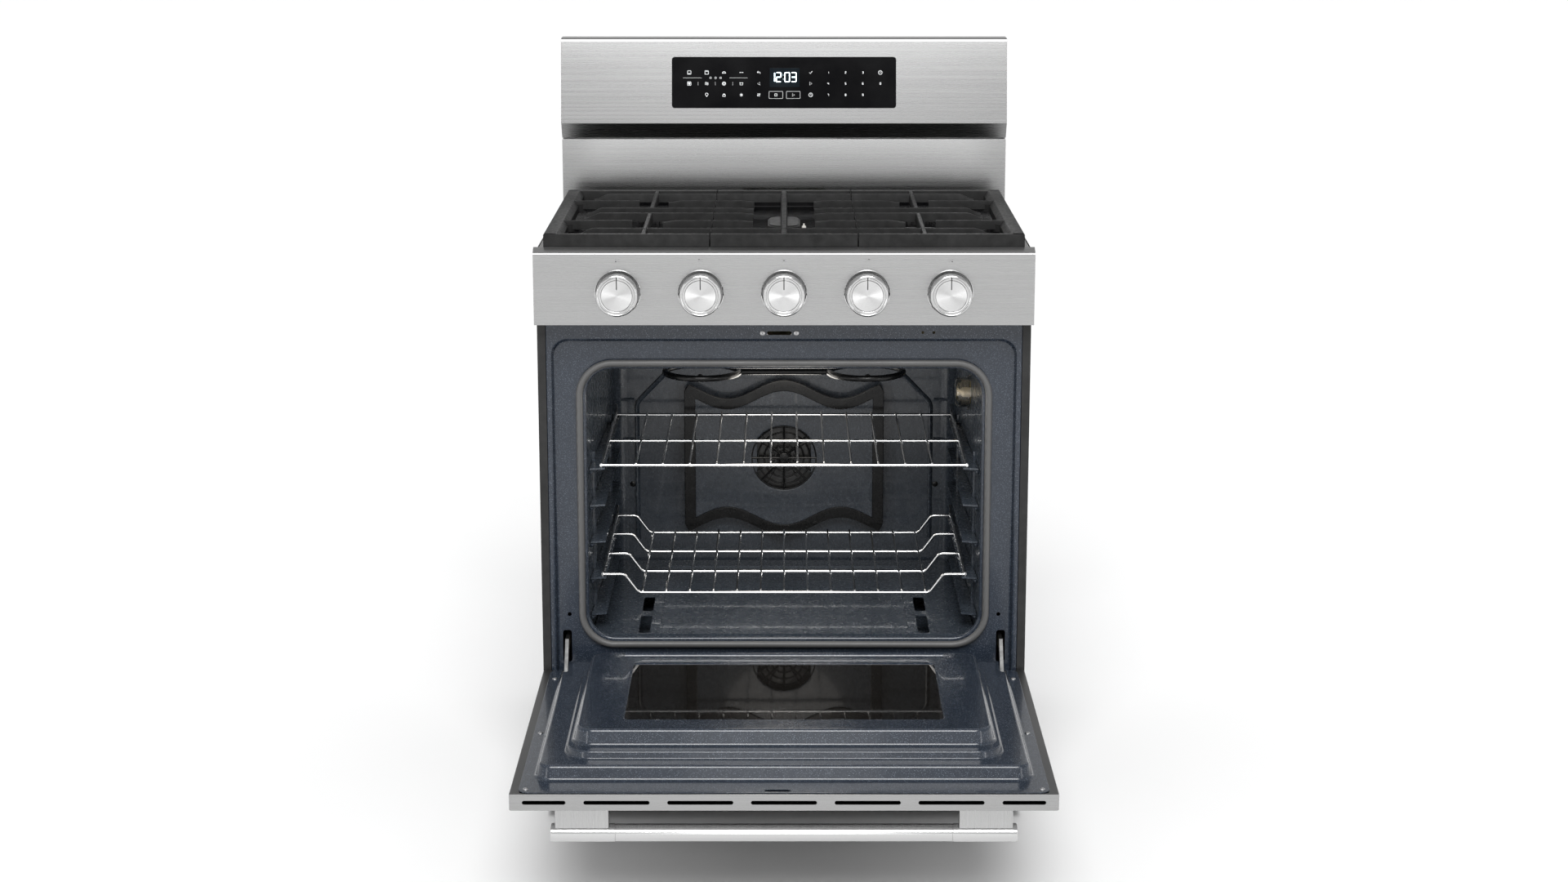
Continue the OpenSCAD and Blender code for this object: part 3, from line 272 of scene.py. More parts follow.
def softened(node, name, finish, r=0.6, steps=2, sharp=25):
    """A piece with the shape of a CAD node and its edges broken by r."""
    source = frame["nodes"][node]
    bm = bmesh.new()
    bm.from_mesh(source.data)
    resize(bm, 1 / MM)
    weld(bm, 1e-3)
    bmesh.ops.dissolve_limit(bm, angle_limit=radians(1), verts=bm.verts, edges=bm.edges)
    inner = [e for e in bm.edges if len(e.link_faces) == 2]
    edges = [e for e in inner if e.calc_face_angle(0) > radians(sharp)]
    round_edges(bm, edges, r, steps, clamp=True)
    piece(name, bm, finish, source["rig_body"], [node])


# ---- finishes
class Finish:
    """A Principled material with procedural grain, bump and wear."""

    def __init__(self, name, color, rough, metal=0.0, **sockets):
        self.mat = bpy.data.materials.new(name)
        self.mat.use_nodes = True
        self.tree = self.mat.node_tree
        self.shader = self.tree.nodes["Principled BSDF"]
        self.place = self.node("TexCoord").outputs["Object"]
        sockets.update(Base_Color=(*color, 1), Roughness=rough, Metallic=metal)
        for socket, value in sockets.items():
            self.shader.inputs[socket.replace("_", " ")].default_value = value

    def plug(self, socket, value):
        """Links a socket to an output, or sets it."""
        if hasattr(value, "links"):
            self.tree.links.new(value, socket)
        else:
            socket.default_value = value

    def node(self, kind, settings=None, **inputs):
        n = self.tree.nodes.new("ShaderNode" + kind)
        for k, v in (settings or {}).items():
            setattr(n, k, v)
        for k, v in inputs.items():
            self.plug(n.inputs[k.replace("_", " ")], v)
        return n

    def scaled(self, scale):
        """Object coordinates in metres, times scale."""
        scale = (scale,) * 3 if isinstance(scale, (int, float)) else scale
        return self.node("Mapping", Vector=self.place, Scale=scale).outputs[0]

    def noise(self, scale, detail=3.0, rough=0.55):
        place = self.scaled(scale)
        n = self.node("TexNoise", Vector=place, Scale=1.0, Detail=detail, Roughness=rough)
        return n.outputs["Fac"]

    def cells(self, size):
        """Voronoi cells, and random numbers for each cell."""
        n = self.node("TexVoronoi", Vector=self.scaled(size), Scale=1.0)
        return n, self.node("SeparateColor", Color=n.outputs["Color"]).outputs

    def spread(self, value, low, high, start=0.3, end=0.7):
        """A value from start to end becomes one from low to high."""
        ends = {"From_Min": start, "From_Max": end, "To_Min": low, "To_Max": high}
        return self.node("MapRange", Value=value, **ends).outputs[0]

    def math(self, how, a, b):
        n = self.node("Math", {"operation": how})
        self.plug(n.inputs[0], a)
        self.plug(n.inputs[1], b)
        return n.outputs[0]

    def blend(self, share, a, b):
        """Colour a where share is 0 and b where it is 1."""
        n = self.node("Mix", {"data_type": "RGBA"})
        self.plug(n.inputs[0], share)
        for socket, v in ((n.inputs[6], a), (n.inputs[7], b)):
            self.plug(socket, v if hasattr(v, "links") else (*v, 1))
        return n.outputs[2]

    def look(self, color, rough=None):
        self.plug(self.shader.inputs["Base Color"], color)
        if rough:
            self.plug(self.shader.inputs["Roughness"], rough)

    def bump(self, height, depth):
        """Relief of height times depth, in metres, on top of any other."""
        under = self.shader.inputs["Normal"]
        n = self.node("Bump", Height=height, Distance=depth, Strength=1.0)
        if under.is_linked:
            self.plug(n.inputs["Normal"], under.links[0].from_socket)
        self.plug(under, n.outputs[0])

    def grained(self, tone_noise, tones, rough_noise, roughs, *reliefs):
        """Colour, roughness and relief follow noises of (scale, detail, roughness)."""
        color = self.blend(self.noise(*tone_noise), *tones)
        self.look(color, self.spread(self.noise(*rough_noise), *roughs))
        for noise, depth in reliefs:
            self.bump(self.noise(*noise), depth)

    def round_axis(self, axis):
        """Highlights stretched in circles about an axis."""
        settings = {"direction_type": "RADIAL", "axis": axis}
        tangent = self.node("Tangent", settings).outputs[0]
        self.plug(self.shader.inputs["Tangent"], tangent)

    def worn(self, color):
        """Edges rubbed to a lighter colour."""
        base = self.shader.inputs["Base Color"]
        edge = self.node("NewGeometry").outputs["Pointiness"]
        patchy = self.math("MULTIPLY", self.spread(edge, 0, 1, 0.515, 0.56), self.noise(60, 4))
        self.look(self.blend(patchy, base.links[0].from_socket, color))


def grey(v, blue=0.0):
    return (v, v, v * (1 + blue))


def times(k, color):
    return tuple(k * c for c in color)


def brushed(name, tone, rough, run=0, radial="Z", swing=0.014):
    """Sheet brushed along one axis: 0 is X, 1 is Y, 2 is Z."""
    f = Finish(name, grey(tone), rough, 1.0, Anisotropic=0.6)
    fine, broad = [2600.0] * 3, [420.0] * 3
    fine[run], broad[run] = 7.0, 1.2
    grain = f.math("ADD", f.noise(fine, 3), f.noise(broad, 2))
    color = f.blend(f.spread(grain, 0, 1, 0.75, 1.25), grey(tone - swing), grey(tone + swing))
    f.look(color, f.spread(grain, rough - 0.015, rough + 0.02, 0.8, 1.2))
    f.bump(f.noise(fine, 1), 0.0000025)
    f.round_axis(radial)
    return f.mat


def spun(name, tone):
    """The turned face of a knob: fine rings about Y that throw fans of light."""
    f = Finish(name, grey(tone), 0.25, 1.0, Anisotropic=0.9)
    f.round_axis("Y")
    within = f.node("TexCoord").outputs["Generated"]
    around = f.node("Mapping", Vector=within, Location=(-0.5, 0, -0.5), Scale=(1, 0, 1)).outputs[0]
    radius = f.node("VectorMath", {"operation": "LENGTH"}, Vector=around).outputs["Value"]
    rings = f.node("TexNoise", {"noise_dimensions": "1D"}, W=radius, Scale=260.0).outputs["Fac"]
    f.look(f.blend(rings, grey(tone - 0.05), grey(tone + 0.05)), f.spread(rings, 0.2, 0.3))
    return f.mat


def metal(name, tone, rough, blue=0.0, grain=900, relief=0.00002, wear=None):
    f = Finish(name, grey(tone, blue), rough, 1.0)
    tones = grey(tone * 0.86, blue), grey(tone * 1.1, blue)
    roughs = rough * 0.75, rough * 1.3
    f.grained((grain / 6, 4), tones, (grain / 9, 5), roughs, ((grain, 3), relief))
    if wear:
        f.worn(wear)
    return f.mat


def brass(name):
    f = Finish(name, (0.78, 0.55, 0.25), 0.3, 1.0)
    tones = (0.6, 0.4, 0.16), (0.86, 0.64, 0.32)
    f.grained((160, 4), tones, (120, 4), (0.22, 0.42), ((900, 3), 0.00003))
    return f.mat


def enamel(name, base, speck, rough, density, size=880, gloss=0.4):
    """Glossy vitreous enamel with fine light specks fired into it."""
    coat = {"Coat_Weight": 0.75 * gloss, "Coat_Roughness": 0.05}
    f = Finish(name, base, rough, Specular_IOR_Level=gloss, **coat)
    cells, pick = f.cells(size)
    chosen = f.spread(pick[0], 0, 1, 1 - density, 1.02 - density)
    dots = f.math("MULTIPLY", f.spread(cells.outputs["Distance"], 1, 0, 0.2, 0.42), chosen)
    strength = f.math("MULTIPLY", dots, f.spread(pick[1], 0.25, 1, 0, 1))
    cloud = f.blend(f.noise(35, 4), times(0.82, base), times(1.2, base))
    color = f.blend(strength, cloud, speck)
    f.look(color, f.spread(f.noise(90, 3), rough * 0.8, rough * 1.35))
    f.bump(f.noise(150, 2), 0.00002)
    return f.mat


def paint(name, tone, rough, relief=0.00008, wear=0.25):
    f = Finish(name, grey(tone), rough, Specular_IOR_Level=0.3)
    tones, roughs = (grey(tone * 0.8), grey(tone * 1.25)), (rough * 0.85, rough * 1.2)
    f.grained((25, 4), tones, (70, 4), roughs, ((420, 3), relief))
    f.worn(grey(tone + wear * 0.2))
    return f.mat


def cast_iron(name):
    """Sand-cast iron under matt black enamel."""
    f = Finish(name, grey(0.006), 0.5, Specular_IOR_Level=0.1)
    sand, lumps = ((700, 6, 0.65), 0.00008), ((90, 3), 0.0001)
    f.grained((300, 6), (grey(0.003), grey(0.009)), (180, 5), (0.42, 0.6), sand, lumps)
    f.worn(grey(0.03))
    return f.mat


def galvanised(name):
    f = Finish(name, grey(0.5), 0.45, 1.0)
    pick = f.cells(110)[1]
    color = f.blend(pick[0], grey(0.38, 0.04), grey(0.56, 0.05))
    f.look(color, f.spread(pick[1], 0.32, 0.52, 0, 1))
    f.bump(f.noise(500, 3), 0.00004)
    return f.mat


def braid(name):
    """Knitted glass fibre: two sets of slanting ridges that cross."""
    f = Finish(name, grey(0.1), 0.45)
    ridges = []
    for turn in (0.6, -0.6):
        lines = f.node("Mapping", Vector=f.place, Rotation=(turn, turn, turn)).outputs[0]
        wave = f.node("TexWave", Vector=lines, Scale=260.0, Distortion=0.6, Detail=1.0)
        ridges.append(wave.outputs["Fac"])
    knit = f.math("MAXIMUM", *ridges)
    f.look(f.blend(knit, grey(0.05), grey(0.09)), f.spread(f.noise(300, 3), 0.38, 0.52))
    f.bump(knit, 0.00006)
    f.bump(f.noise(1400, 3), 0.00003)
    return f.mat


def glass(name, color, rough=0.03, clear=1.0, **sockets):
    f = Finish(name, color, rough, Transmission_Weight=clear, IOR=1.5, **sockets)
    f.look((*color, 1), f.spread(f.noise(18, 5), rough * 0.6, rough * 1.8))
    return f.mat


def fibre(name, low, high, size, relief, rough=0.9):
    """Wool, board and ceramic: a dull grain of two colours."""
    f = Finish(name, low, rough, Sheen_Weight=0.1)
    roughs = rough * 0.85, min(1, rough * 1.1)
    f.grained((size, 6, 0.7), (low, high), (size / 3, 3), roughs, ((size, 5), relief))
    return f.mat


def light(name, color, strength):
    """A surface that gives off light, a little uneven: the display's own glow, and the legends'
    painted glow.
    """
    f = Finish(name, color, 0.4, Emission_Strength=strength)
    glow = f.blend(f.noise(120, 2), times(0.85, color), color)
    f.plug(f.shader.inputs["Emission Color"], glow)
    return f.mat


STEEL = brushed("brushed_stainless", 0.38, 0.27)
STEEL_DOWN = brushed("brushed_stainless_down", 0.46, 0.27, run=2, radial="X")
# stainless darkened as painted shade: the drawer front under the open door, and the door skin's
# inward lip
STEEL_PAINTED_SHADE = brushed("brushed_steel_painted_shade", 0.13, 0.36, swing=0.01)
HANDLE = brushed("brushed_handle", 0.6, 0.14, swing=0.015, radial="X")
POLISHED = metal("polished_trim", 0.78, 0.13)
KNOB_BODY = metal("satin_knob", 0.55, 0.18, grain=1500, relief=0.000004)
KNOB_FACE = spun("spun_knob_face", 0.6)
MARK = paint("dark_mark", 0.02, 0.5, wear=0)
PORCELAIN = enamel("speckled_porcelain", (0.017, 0.023, 0.034), (0.2, 0.235, 0.29), 0.2, 0.36)
OVEN_PORCELAIN = enamel("oven_porcelain", (0.027, 0.034, 0.044), (0.26, 0.3, 0.36), 0.26, 0.3)
BLACK_ENAMEL = enamel(
    "black_top_enamel", (0.004, 0.004, 0.0045), (0.03, 0.03, 0.033), 0.16, 0.15, 900, 0.07
)
BAND_ENAMEL = paint("black_band_enamel", 0.003, 0.26, relief=0.00001, wear=0)
DARK_CASTING = metal("dark_aluminium", 0.1, 0.5, relief=0.00005)
CAP_ENAMEL = paint("matt_black_enamel", 0.012, 0.42, wear=0.2)
IRON = cast_iron("black_cast_iron")
SIDE_PAINT = paint("black_side_paint", 0.006, 0.34, wear=0.1)
CHROME = metal("bright_chrome_wire", 0.78, 0.14, grain=1200)
ZINC = metal("zinc_steel", 0.42, 0.34, 0.02, wear=grey(0.6))
DARK_IRON = metal("dark_hinge_steel", 0.12, 0.45)
ALUMINIUM = metal("cast_aluminium", 0.66, 0.38, 0.02, relief=0.00005)
BRASS = brass("turned_brass")
SHEET = galvanised("galvanised_sheet")
SEAL = braid("glass_fibre_braid")
WOOL = fibre("glass_wool", (0.5, 0.42, 0.18), (0.75, 0.68, 0.4), 500, 0.001)
BOARD = fibre("circuit_board", (0.01, 0.07, 0.03), (0.02, 0.14, 0.06), 260, 0.0001, 0.5)
CERAMIC = fibre("white_ceramic", (0.7, 0.68, 0.62), (0.82, 0.8, 0.76), 400, 0.00005, 0.4)
BLACK_GLASS = glass(
    "black_control_glass", (0.003, 0.003, 0.0035), 0.12, 0.0, Specular_IOR_Level=0.06
)
DOOR_GLASS = glass("tinted_door_glass", (0.02, 0.018, 0.016), 0.02, 0.6)
OUTER_GLASS = glass("dark_outer_glass", (0.008, 0.008, 0.008), 0.03, 0.25)
LENS_GLASS = glass("ribbed_lens_glass", (1.0, 0.93, 0.8), 0.05)
# the printed legends glow: painted light that makes the white print read brighter
INK_PAINTED_GLOW = light("legend_ink_painted_glow", (0.85, 0.87, 0.88), 0.7)
GLOW = light("display_glow", (0.8, 0.95, 1.0), 4.0)
DISPLAY = glass("display_window", (0.004, 0.007, 0.01), 0.12, 0.0, Specular_IOR_Level=0.1)


# ---- backguard
GLASS_LO, GLASS_HI = box("control_glass")
GLASS_T = 1.6
LEAN = atan((GLASS_HI.y - GLASS_LO.y - GLASS_T) / (GLASS_HI.z - GLASS_LO.z))
# From the console's face, with +Z out of the glass, to the shared frame
FACE = placed(middle("control_glass"), Matrix.Rotation(pi / 2 - LEAN, 4, "X"))
FACE = FACE @ Matrix.Translation((0, 0, GLASS_T / 2))
# Segments join two of six points, counted from the top left in rows of two
SEGMENTS = {"a": "01", "b": "13", "c": "35", "d": "45", "e": "24", "f": "02", "g": "23"}
DIGITS = "abcdef bc abged abgcd fgbc afgcd afgcde abc abcdefg abcdfg".split()


def square(w, h, cx=0.0, cy=0.0, r=0.2):
    outline = rounded(cx - w, cx + w, cy - h, cy + h, r, 3)
    return outline + outline[:1]


# Small plain signs for the keys, drawn from -1 to 1
OVEN = square(1, 1)
SIGNS = {
    "bottom": [OVEN, [(-0.6, -0.6), (0.6, -0.6)]],
    "top": [OVEN, [(-0.6, 0.6), (0.6, 0.6)]],
    "dome": [arc(0, -0.4, 0.9, 0, 180), [(-1.1, -0.4), (1.1, -0.4)]],
    "fan": [OVEN] + [arc(0.35 * cos(a), 0.35 * sin(a), 0.3, steps=8) for a in (0.5, 2.6, 4.7)],
    "air": [[(-1, y), (-0.3, y + 0.25), (0.3, y - 0.25), (1, y)] for y in (-0.6, 0, 0.6)],
    "plate": [arc(0, 0, 1), arc(0, 0, 0.5)],
    "pot": [[(-0.8, 0.4), (-0.8, -0.8), (0.8, -0.8), (0.8, 0.4)], [(-1.1, 0.45), (1.1, 0.45)]],
    "dots": [arc(x, 0, 0.16, steps=6) for x in (-0.8, 0, 0.8)],
    "left": [[(0.6, 0.9), (-0.7, 0), (0.6, -0.9), (0.6, 0.9)]],
    "right": [[(-0.6, 0.9), (0.7, 0), (-0.6, -0.9), (-0.6, 0.9)]],
    "back": [[(-0.2, 0.8), (-0.9, 0.2), (-0.2, -0.4)], [(-0.9, 0.2), (0.8, 0.2), (0.8, -0.7)]],
    "clock": [arc(0, 0, 1.1), [(0, 0.7), (0, 0), (0.5, 0)]],
    "bulb": [arc(0, 0.3, 0.8, -60, 240)] + [[(-0.35, y), (0.35, y)] for y in (-0.9, -0.55)],
    "lock": [square(0.75, 0.55, 0, -0.4), arc(0, 0.15, 0.5, 0, 180)],
    "star": [[(0, 1), (0, -1)], [(-0.87, 0.5), (0.87, -0.5)], [(-0.87, -0.5), (0.87, 0.5)]],
    "warm": [[(x, -0.8), (x - 0.2, -0.2), (x + 0.2, 0.3), (x, 0.9)] for x in (-0.6, 0, 0.6)],
    "stop": [square(0.65, 0.65, r=0.1)],
    "start": [[(-0.5, 0.8), (0.8, 0), (-0.5, -0.8), (-0.5, 0.8)]],
    "tick": [[(-0.8, 0), (-0.2, -0.7), (0.9, 0.8)]],
}
# What stands at each column and row of the glass; - is nothing
KEY_X = (-161.4, -131.7, -102.2, -72.6, -43.1, -13.8, 15.8, 45.5, 75.3, 104.9, 134.3, 164.1)
KEY_Y = 16.8, -2.0, -21.3
KEY_ROWS = (
    "bottom top dome dots back - - tick 1 2 3 clock",
    "fan air plate pot left - - right 4 5 6 0",
    "- bulb lock star warm stop start clock 7 8 9 -",
)
SIGN_SIZE, SIGN_LINE = 2.9, 0.62
KEY_DIGIT = {"w": 1.9, "h": 3.3, "width": 0.6}
CLOCK_DIGIT = {"w": 8.0, "h": 15.4, "width": 1.7, "height": 0.4}
TITLE_Y = 7.7  # the line of rules and dots between the first two rows


def stroke(bm, points, width, x=0, y=0, size=1, height=0.0):
    """A drawn line, size times points, at (x, y) on the console's face."""
    path = [FACE @ Vector((x + size * px, y + size * py, height)) for px, py in points]
    loop = len(path) > 3 and (path[0] - path[-1]).length < 1e-6
    tube(bm, path[:-1] if loop else path, width / 2, sides=6, loop=loop)


def digit(bm, n, x, y, w, h, width, height=0.0):
    """A digit of seven straight segments, w wide and h high."""
    for s in DIGITS[n]:
        p, q = (Vector((2 * (k % 2) - 1, 2 - 2 * (k // 2))) for k in map(int, SEGMENTS[s]))
        gap = (q - p).normalized() * 0.12
        points = [(end.x * w, end.y * h / 2) for end in (p + gap, q - gap)]
        stroke(bm, points, width, x, y, 0.5, height)


def console():
    softened("console_housing", "console_shell", STEEL, 1.2)
    softened("backguard_panel", "backguard_sheet", STEEL, 0.8)
    softened("control_glass", "console_glass", BLACK_GLASS, 0.5)
    legends = bmesh.new()
    for y, row in zip(KEY_Y, KEY_ROWS):
        for x, sign in zip(KEY_X, row.split()):
            if sign.isdigit():
                digit(legends, int(sign), x, y, **KEY_DIGIT)
            for line in SIGNS.get(sign, ()):
                stroke(legends, line, SIGN_LINE, x, y, SIGN_SIZE)
    for x in KEY_X[5:7]:  # frames around stop and start
        stroke(legends, square(11.7, 6, r=1.2), 0.35, x, KEY_Y[2])
    for x0, x1 in ((-172, -140), (-93, -62)):
        stroke(legends, [(x0, TITLE_Y), (x1, TITLE_Y)], 0.3)
    for x in (-146.5, -117, -87.4):
        stroke(legends, [(x, KEY_Y[1] - 3), (x, KEY_Y[1] + 3)], 0.25)
    for x in (-125, -116.5, -108):
        stroke(legends, arc(0, 0, 1.6, steps=10), 0.4, x, TITLE_Y)
    # the legends' glow is painted light on printed ink
    piece("console_legends", legends, INK_PAINTED_GLOW, "cabinet")
    window = bmesh.new()
    prism(window, rounded(-24.5, 26.5, -8, 24.5, 1.5, 4), 0, 0.3, 0.2, at=FACE)
    piece("display_window", window, DISPLAY, "cabinet")
    clock = bmesh.new()
    for n, x in ((1, -20), (2, -9.2), (0, 5.4), (3, 16.6)):
        digit(clock, n, x, 8.8, **CLOCK_DIGIT)
    for y in (5.4, 12.2):
        stroke(clock, [(-0.1, 0), (0.1, 0)], 1.7, -1.2, y, height=0.4)
    piece("clock_digits", clock, GLOW, "cabinet")


# ---- cooktop and grates
PANEL_Y = box("control_panel")[0].y
BURNER_X = 214
BURNER_ROWS = FRONT_ROW, REAR_ROW = PANEL_Y + 167, PANEL_Y + 397
LONG_BARS = [row + reach for row in BURNER_ROWS for reach in (-85, 85)]
BAR_DEPTH = 14
DROOP_REACH = 26
END_T = 11  # end rails of a grate, front to back
JOIN_W, JOIN_DROP = 8, 11  # low strips where two grates meet


def bar(bm, p, q, top=6.5, droop=(0, 0)):
    """A cast bar below p and q, top wide; droop lowers either end."""
    p, q = Vector(p), Vector(q)
    along = (q - p).normalized()
    side = Vector((-along.y, along.x, 0))
    length = (q - p).length
    reach = min(DROOP_REACH, length / 2)
    stations = [reach * k for k in (0, 0.25, 0.5, 0.75, 1)]
    stations += [length - s for s in reversed(stations)]
    t, b = top / 2, (top + 2) / 2
    rings = []
    for s in sorted(set(stations)):
        near, far = max(0, 1 - s / reach), max(0, 1 - (length - s) / reach)
        fall = droop[0] * near * near * (3 - 2 * near) + droop[1] * far * far * (3 - 2 * far)
        section = [(-b, -BAR_DEPTH), (b, -BAR_DEPTH), (t, -1.6 - fall), (t - 0.8, -0.4 - fall)]
        section += [(t - 1.8, -fall), (1.8 - t, -fall), (0.8 - t, -0.4 - fall), (-t, -1.6 - fall)]
        rings.append([p + along * s + side * u + Vector((0, 0, v)) for u, v in section])
    closed(bm, rings)


def end_rails(bm, lo, hi):
    for y0, y1 in ((lo.y, lo.y + END_T), (hi.y - END_T, hi.y)):
        slab(bm, (lo.x, y0, lo.z), (hi.x, y1, hi.z), 1.6)


def join_strip(bm, x, inwards, lo, hi):
    """The low strip where a grate meets the next one."""
    x0, x1 = sorted((x, x + inwards * JOIN_W))
    slab(bm, (x0, lo.y + 1, lo.z), (x1, hi.y - 1, hi.z - JOIN_DROP), 1)


def outer_grate(word, side):
    lo, hi = box(f"grate_{word}")
    outer, inner = (lo.x, hi.x) if side < 0 else (hi.x, lo.x)
    top, mid = hi.z, BURNER_X * side
    rail = outer - side * 27
    bm = bmesh.new()
    end_rails(bm, lo, hi)
    join_strip(bm, inner, side, lo, hi)
    # broad side rail that slopes down to the burners
    deep, y0, y1 = top - lo.z, lo.y + 0.5, hi.y - 0.5
    section = ((0, deep), (0, 1.6), (0.5, 0.5), (1.6, 0), (18, 0), (20, 0.6), (27, 8), (27, deep))
    closed(bm, [[(outer - side * i, y, top - d) for i, d in section] for y in (y0, y1)])
    for y in LONG_BARS:
        bar(bm, (rail - side * 20, y, top), (inner, y, top), droop=(9, 0))
    for y in BURNER_ROWS:
        bar(bm, (rail + side * 8, y, top), (mid + side * 24, y, top))
        bar(bm, (mid - side * 24, y, top), (inner, y, top), droop=(3, 0))
        # gusset between the rail and each short bar
        gusset = [(rail + side * 4, y - 13), (rail - side * 12, y), (rail + side * 4, y + 13)]
        closed(bm, [[(gx, gy, z) for gx, gy in gusset] for z in (lo.z + 2, top - 6)])
    for y0, y1 in ((lo.y + 6, LONG_BARS[1]), (LONG_BARS[2], hi.y - 6)):
        bar(bm, (mid, y0, top - 0.3), (mid, y1, top - 0.3), 7)
    piece(f"grate_{word}_casting", bm, IRON, f"{word}_grate", [f"grate_{word}"])


def middle_grate():
    lo, hi = box("grate_center")
    top = hi.z
    bm = bmesh.new()
    end_rails(bm, lo, hi)
    bar(bm, (0, lo.y + 6, top - 0.3), (0, hi.y - 6, top - 0.3), 9)
    for side in SIDES:
        edge = side * hi.x
        join_strip(bm, edge, -side, lo, hi)
        for y in (LONG_BARS[0], LONG_BARS[3]):
            bar(bm, (edge, y, top), (0, y, top))
        for y in (FRONT_ROW, LONG_BARS[1], LONG_BARS[2], REAR_ROW):
            bar(bm, (edge, y, top), (side * 49, y, top), droop=(0, 2))
    piece("grate_center_casting", bm, IRON, "center_grate", ["grate_center"])


def cooktop():
    softened("cooktop", "cooktop_pan", BLACK_ENAMEL, 1.6, 3)
    softened("burner_caps", "burner_cap_set", CAP_ENAMEL, 0.9, 3, 40)
    outer_grate("left", -1)
    outer_grate("right", 1)
    middle_grate()


# ---- control panel and knobs
KNOBS = range(1, 6)
FACE_R = 23.4  # the spun face inside the knob's rim
STEM_R, HUB_R = 4.1, 9


def control_panel():
    """The panel, with five dots above each knob; its own is larger."""
    softened("control_panel", "control_fascia", STEEL, 0.7)
    lo, hi = box("control_panel")
    marks = bmesh.new()
    for n in KNOBS:
        x, z = middle(f"knob_{n}").x, hi.z - 18.5
        for k, (dx, dz) in enumerate(((-1, -1), (-1, 1), (0, 0), (1, 1), (1, -1)), 1):
            r = 0.95 if k == n else 0.4
            at = placed((x + 2.4 * dx, lo.y, z + 1.6 * dz))
            lathe(marks, [(0, 0.15), (r - 0.1, 0.15), (r, 0.05), (r, -0.5)], at, 12)
    piece("burner_marks", marks, MARK, "cabinet")


def knobs():
    bezels = bmesh.new()
    for n in KNOBS:
        node = f"knob_{n}"
        lo, hi = box(node)
        r, deep = (hi.z - lo.z) / 2, hi.y - lo.y
        x, _, z = middle(node)
        at = placed((x, hi.y, z))
        # rim, groove and the well of the face, as (radius, depth below the front)
        turn = [pi * k / 16 for k in range(9)]
        front = [(r - 3 + 3 * cos(a), 3 - 3 * sin(a)) for a in turn]
        front += [(29.2, 0.2), (28.5, 0.5), (28.3, 2.6), (27.2, 2.6), (27, 1.1), (26.6, 0.8)]
        front += [(24.8, 0.8), (24.4, 1.0), (24.2, 1.7), (23.9, 1.7), (23.8, 0.9), (23.2, 0.25)]
        profile = [(r - 2, 0), (r - 0.6, 0), (r, 0.6)] + [(p, deep - d) for p, d in front]
        hollow = [(STEM_R, deep - 8), (STEM_R, 0.3), (HUB_R, 0.3), (HUB_R, deep - 8)]
        body = bmesh.new()
        lathe(body, profile, at, 96)
        lathe(body, hollow + [(r - 2, deep - 8), (r - 2, 0)], at, 48)
        piece(f"{node}_body", body, KNOB_BODY, node, [node])
        face = bmesh.new()
        dish = ((FACE_R, 0.6), (FACE_R - 0.2, 0.2), (12, 0.32), (0, 0.4))
        lathe(face, [(p, deep - d) for p, d in dish], at, 96)
        piece(f"{node}_face", face, KNOB_FACE, node)
        pointer = bmesh.new()
        slab(pointer, (x - 0.75, lo.y + 0.02, z + 9.5), (x + 0.75, lo.y + 0.9, z + 28.2), 0.3)
        piece(f"{node}_pointer", pointer, MARK, node)
        ring = ((0.9, 0.02), (0.9, 1.6), (1.3, 2.6), (2, 3.1), (2.8, 2.5), (3.1, 1.2), (3.2, 0.02))
        foot = placed((x, PANEL_Y, z))
        lathe(bezels, [(r + out, h) for out, h in ring], foot, 96, loop=True)
    piece("knob_bezel_rings", bezels, POLISHED, "cabinet", ["knob_bezels"])


# ---- oven
LINER_LO, LINER_HI = box("oven_liner")
SEAL_LO, SEAL_HI = box("door_gasket")
ARM_HI = box("hinge_arms")[1]
LATCH_HI = box("door_latch")[1]
LINER_T = 1.2
SEAL_R = (SEAL_HI.y - SEAL_LO.y) / 2
MOUTH_HW, MOUTH_TOP = LINER_HI.x - LINER_T, LINER_HI.z - LINER_T
MOUTH_LOW, MOUTH_R = SEAL_LO.z + SEAL_R + 10, 42
ARM_X = ARM_HI.x - 8
LATCH_Z = LATCH_HI.z - 1.5


def upright(w, z0, z1, r, y, steps=10):
    """A rounded rectangle of X and Z at y, from -w to w."""
    return [(x, y, z) for x, z in rounded(-w, w, z0, z1, r, steps)]


def bend_profile(height, f, slope=0.0):
    """(offset inwards, rise) of a pressed step: fillet, wall, fillet."""
    turn = [radians(a) for a in (0, 22.5, 45, 67.5, 90)]
    low = [(-f + f * sin(a), f - f * cos(a)) for a in turn]
    high = [(slope + f - f * cos(a), height - f + f * sin(a)) for a in turn]
    return low + high


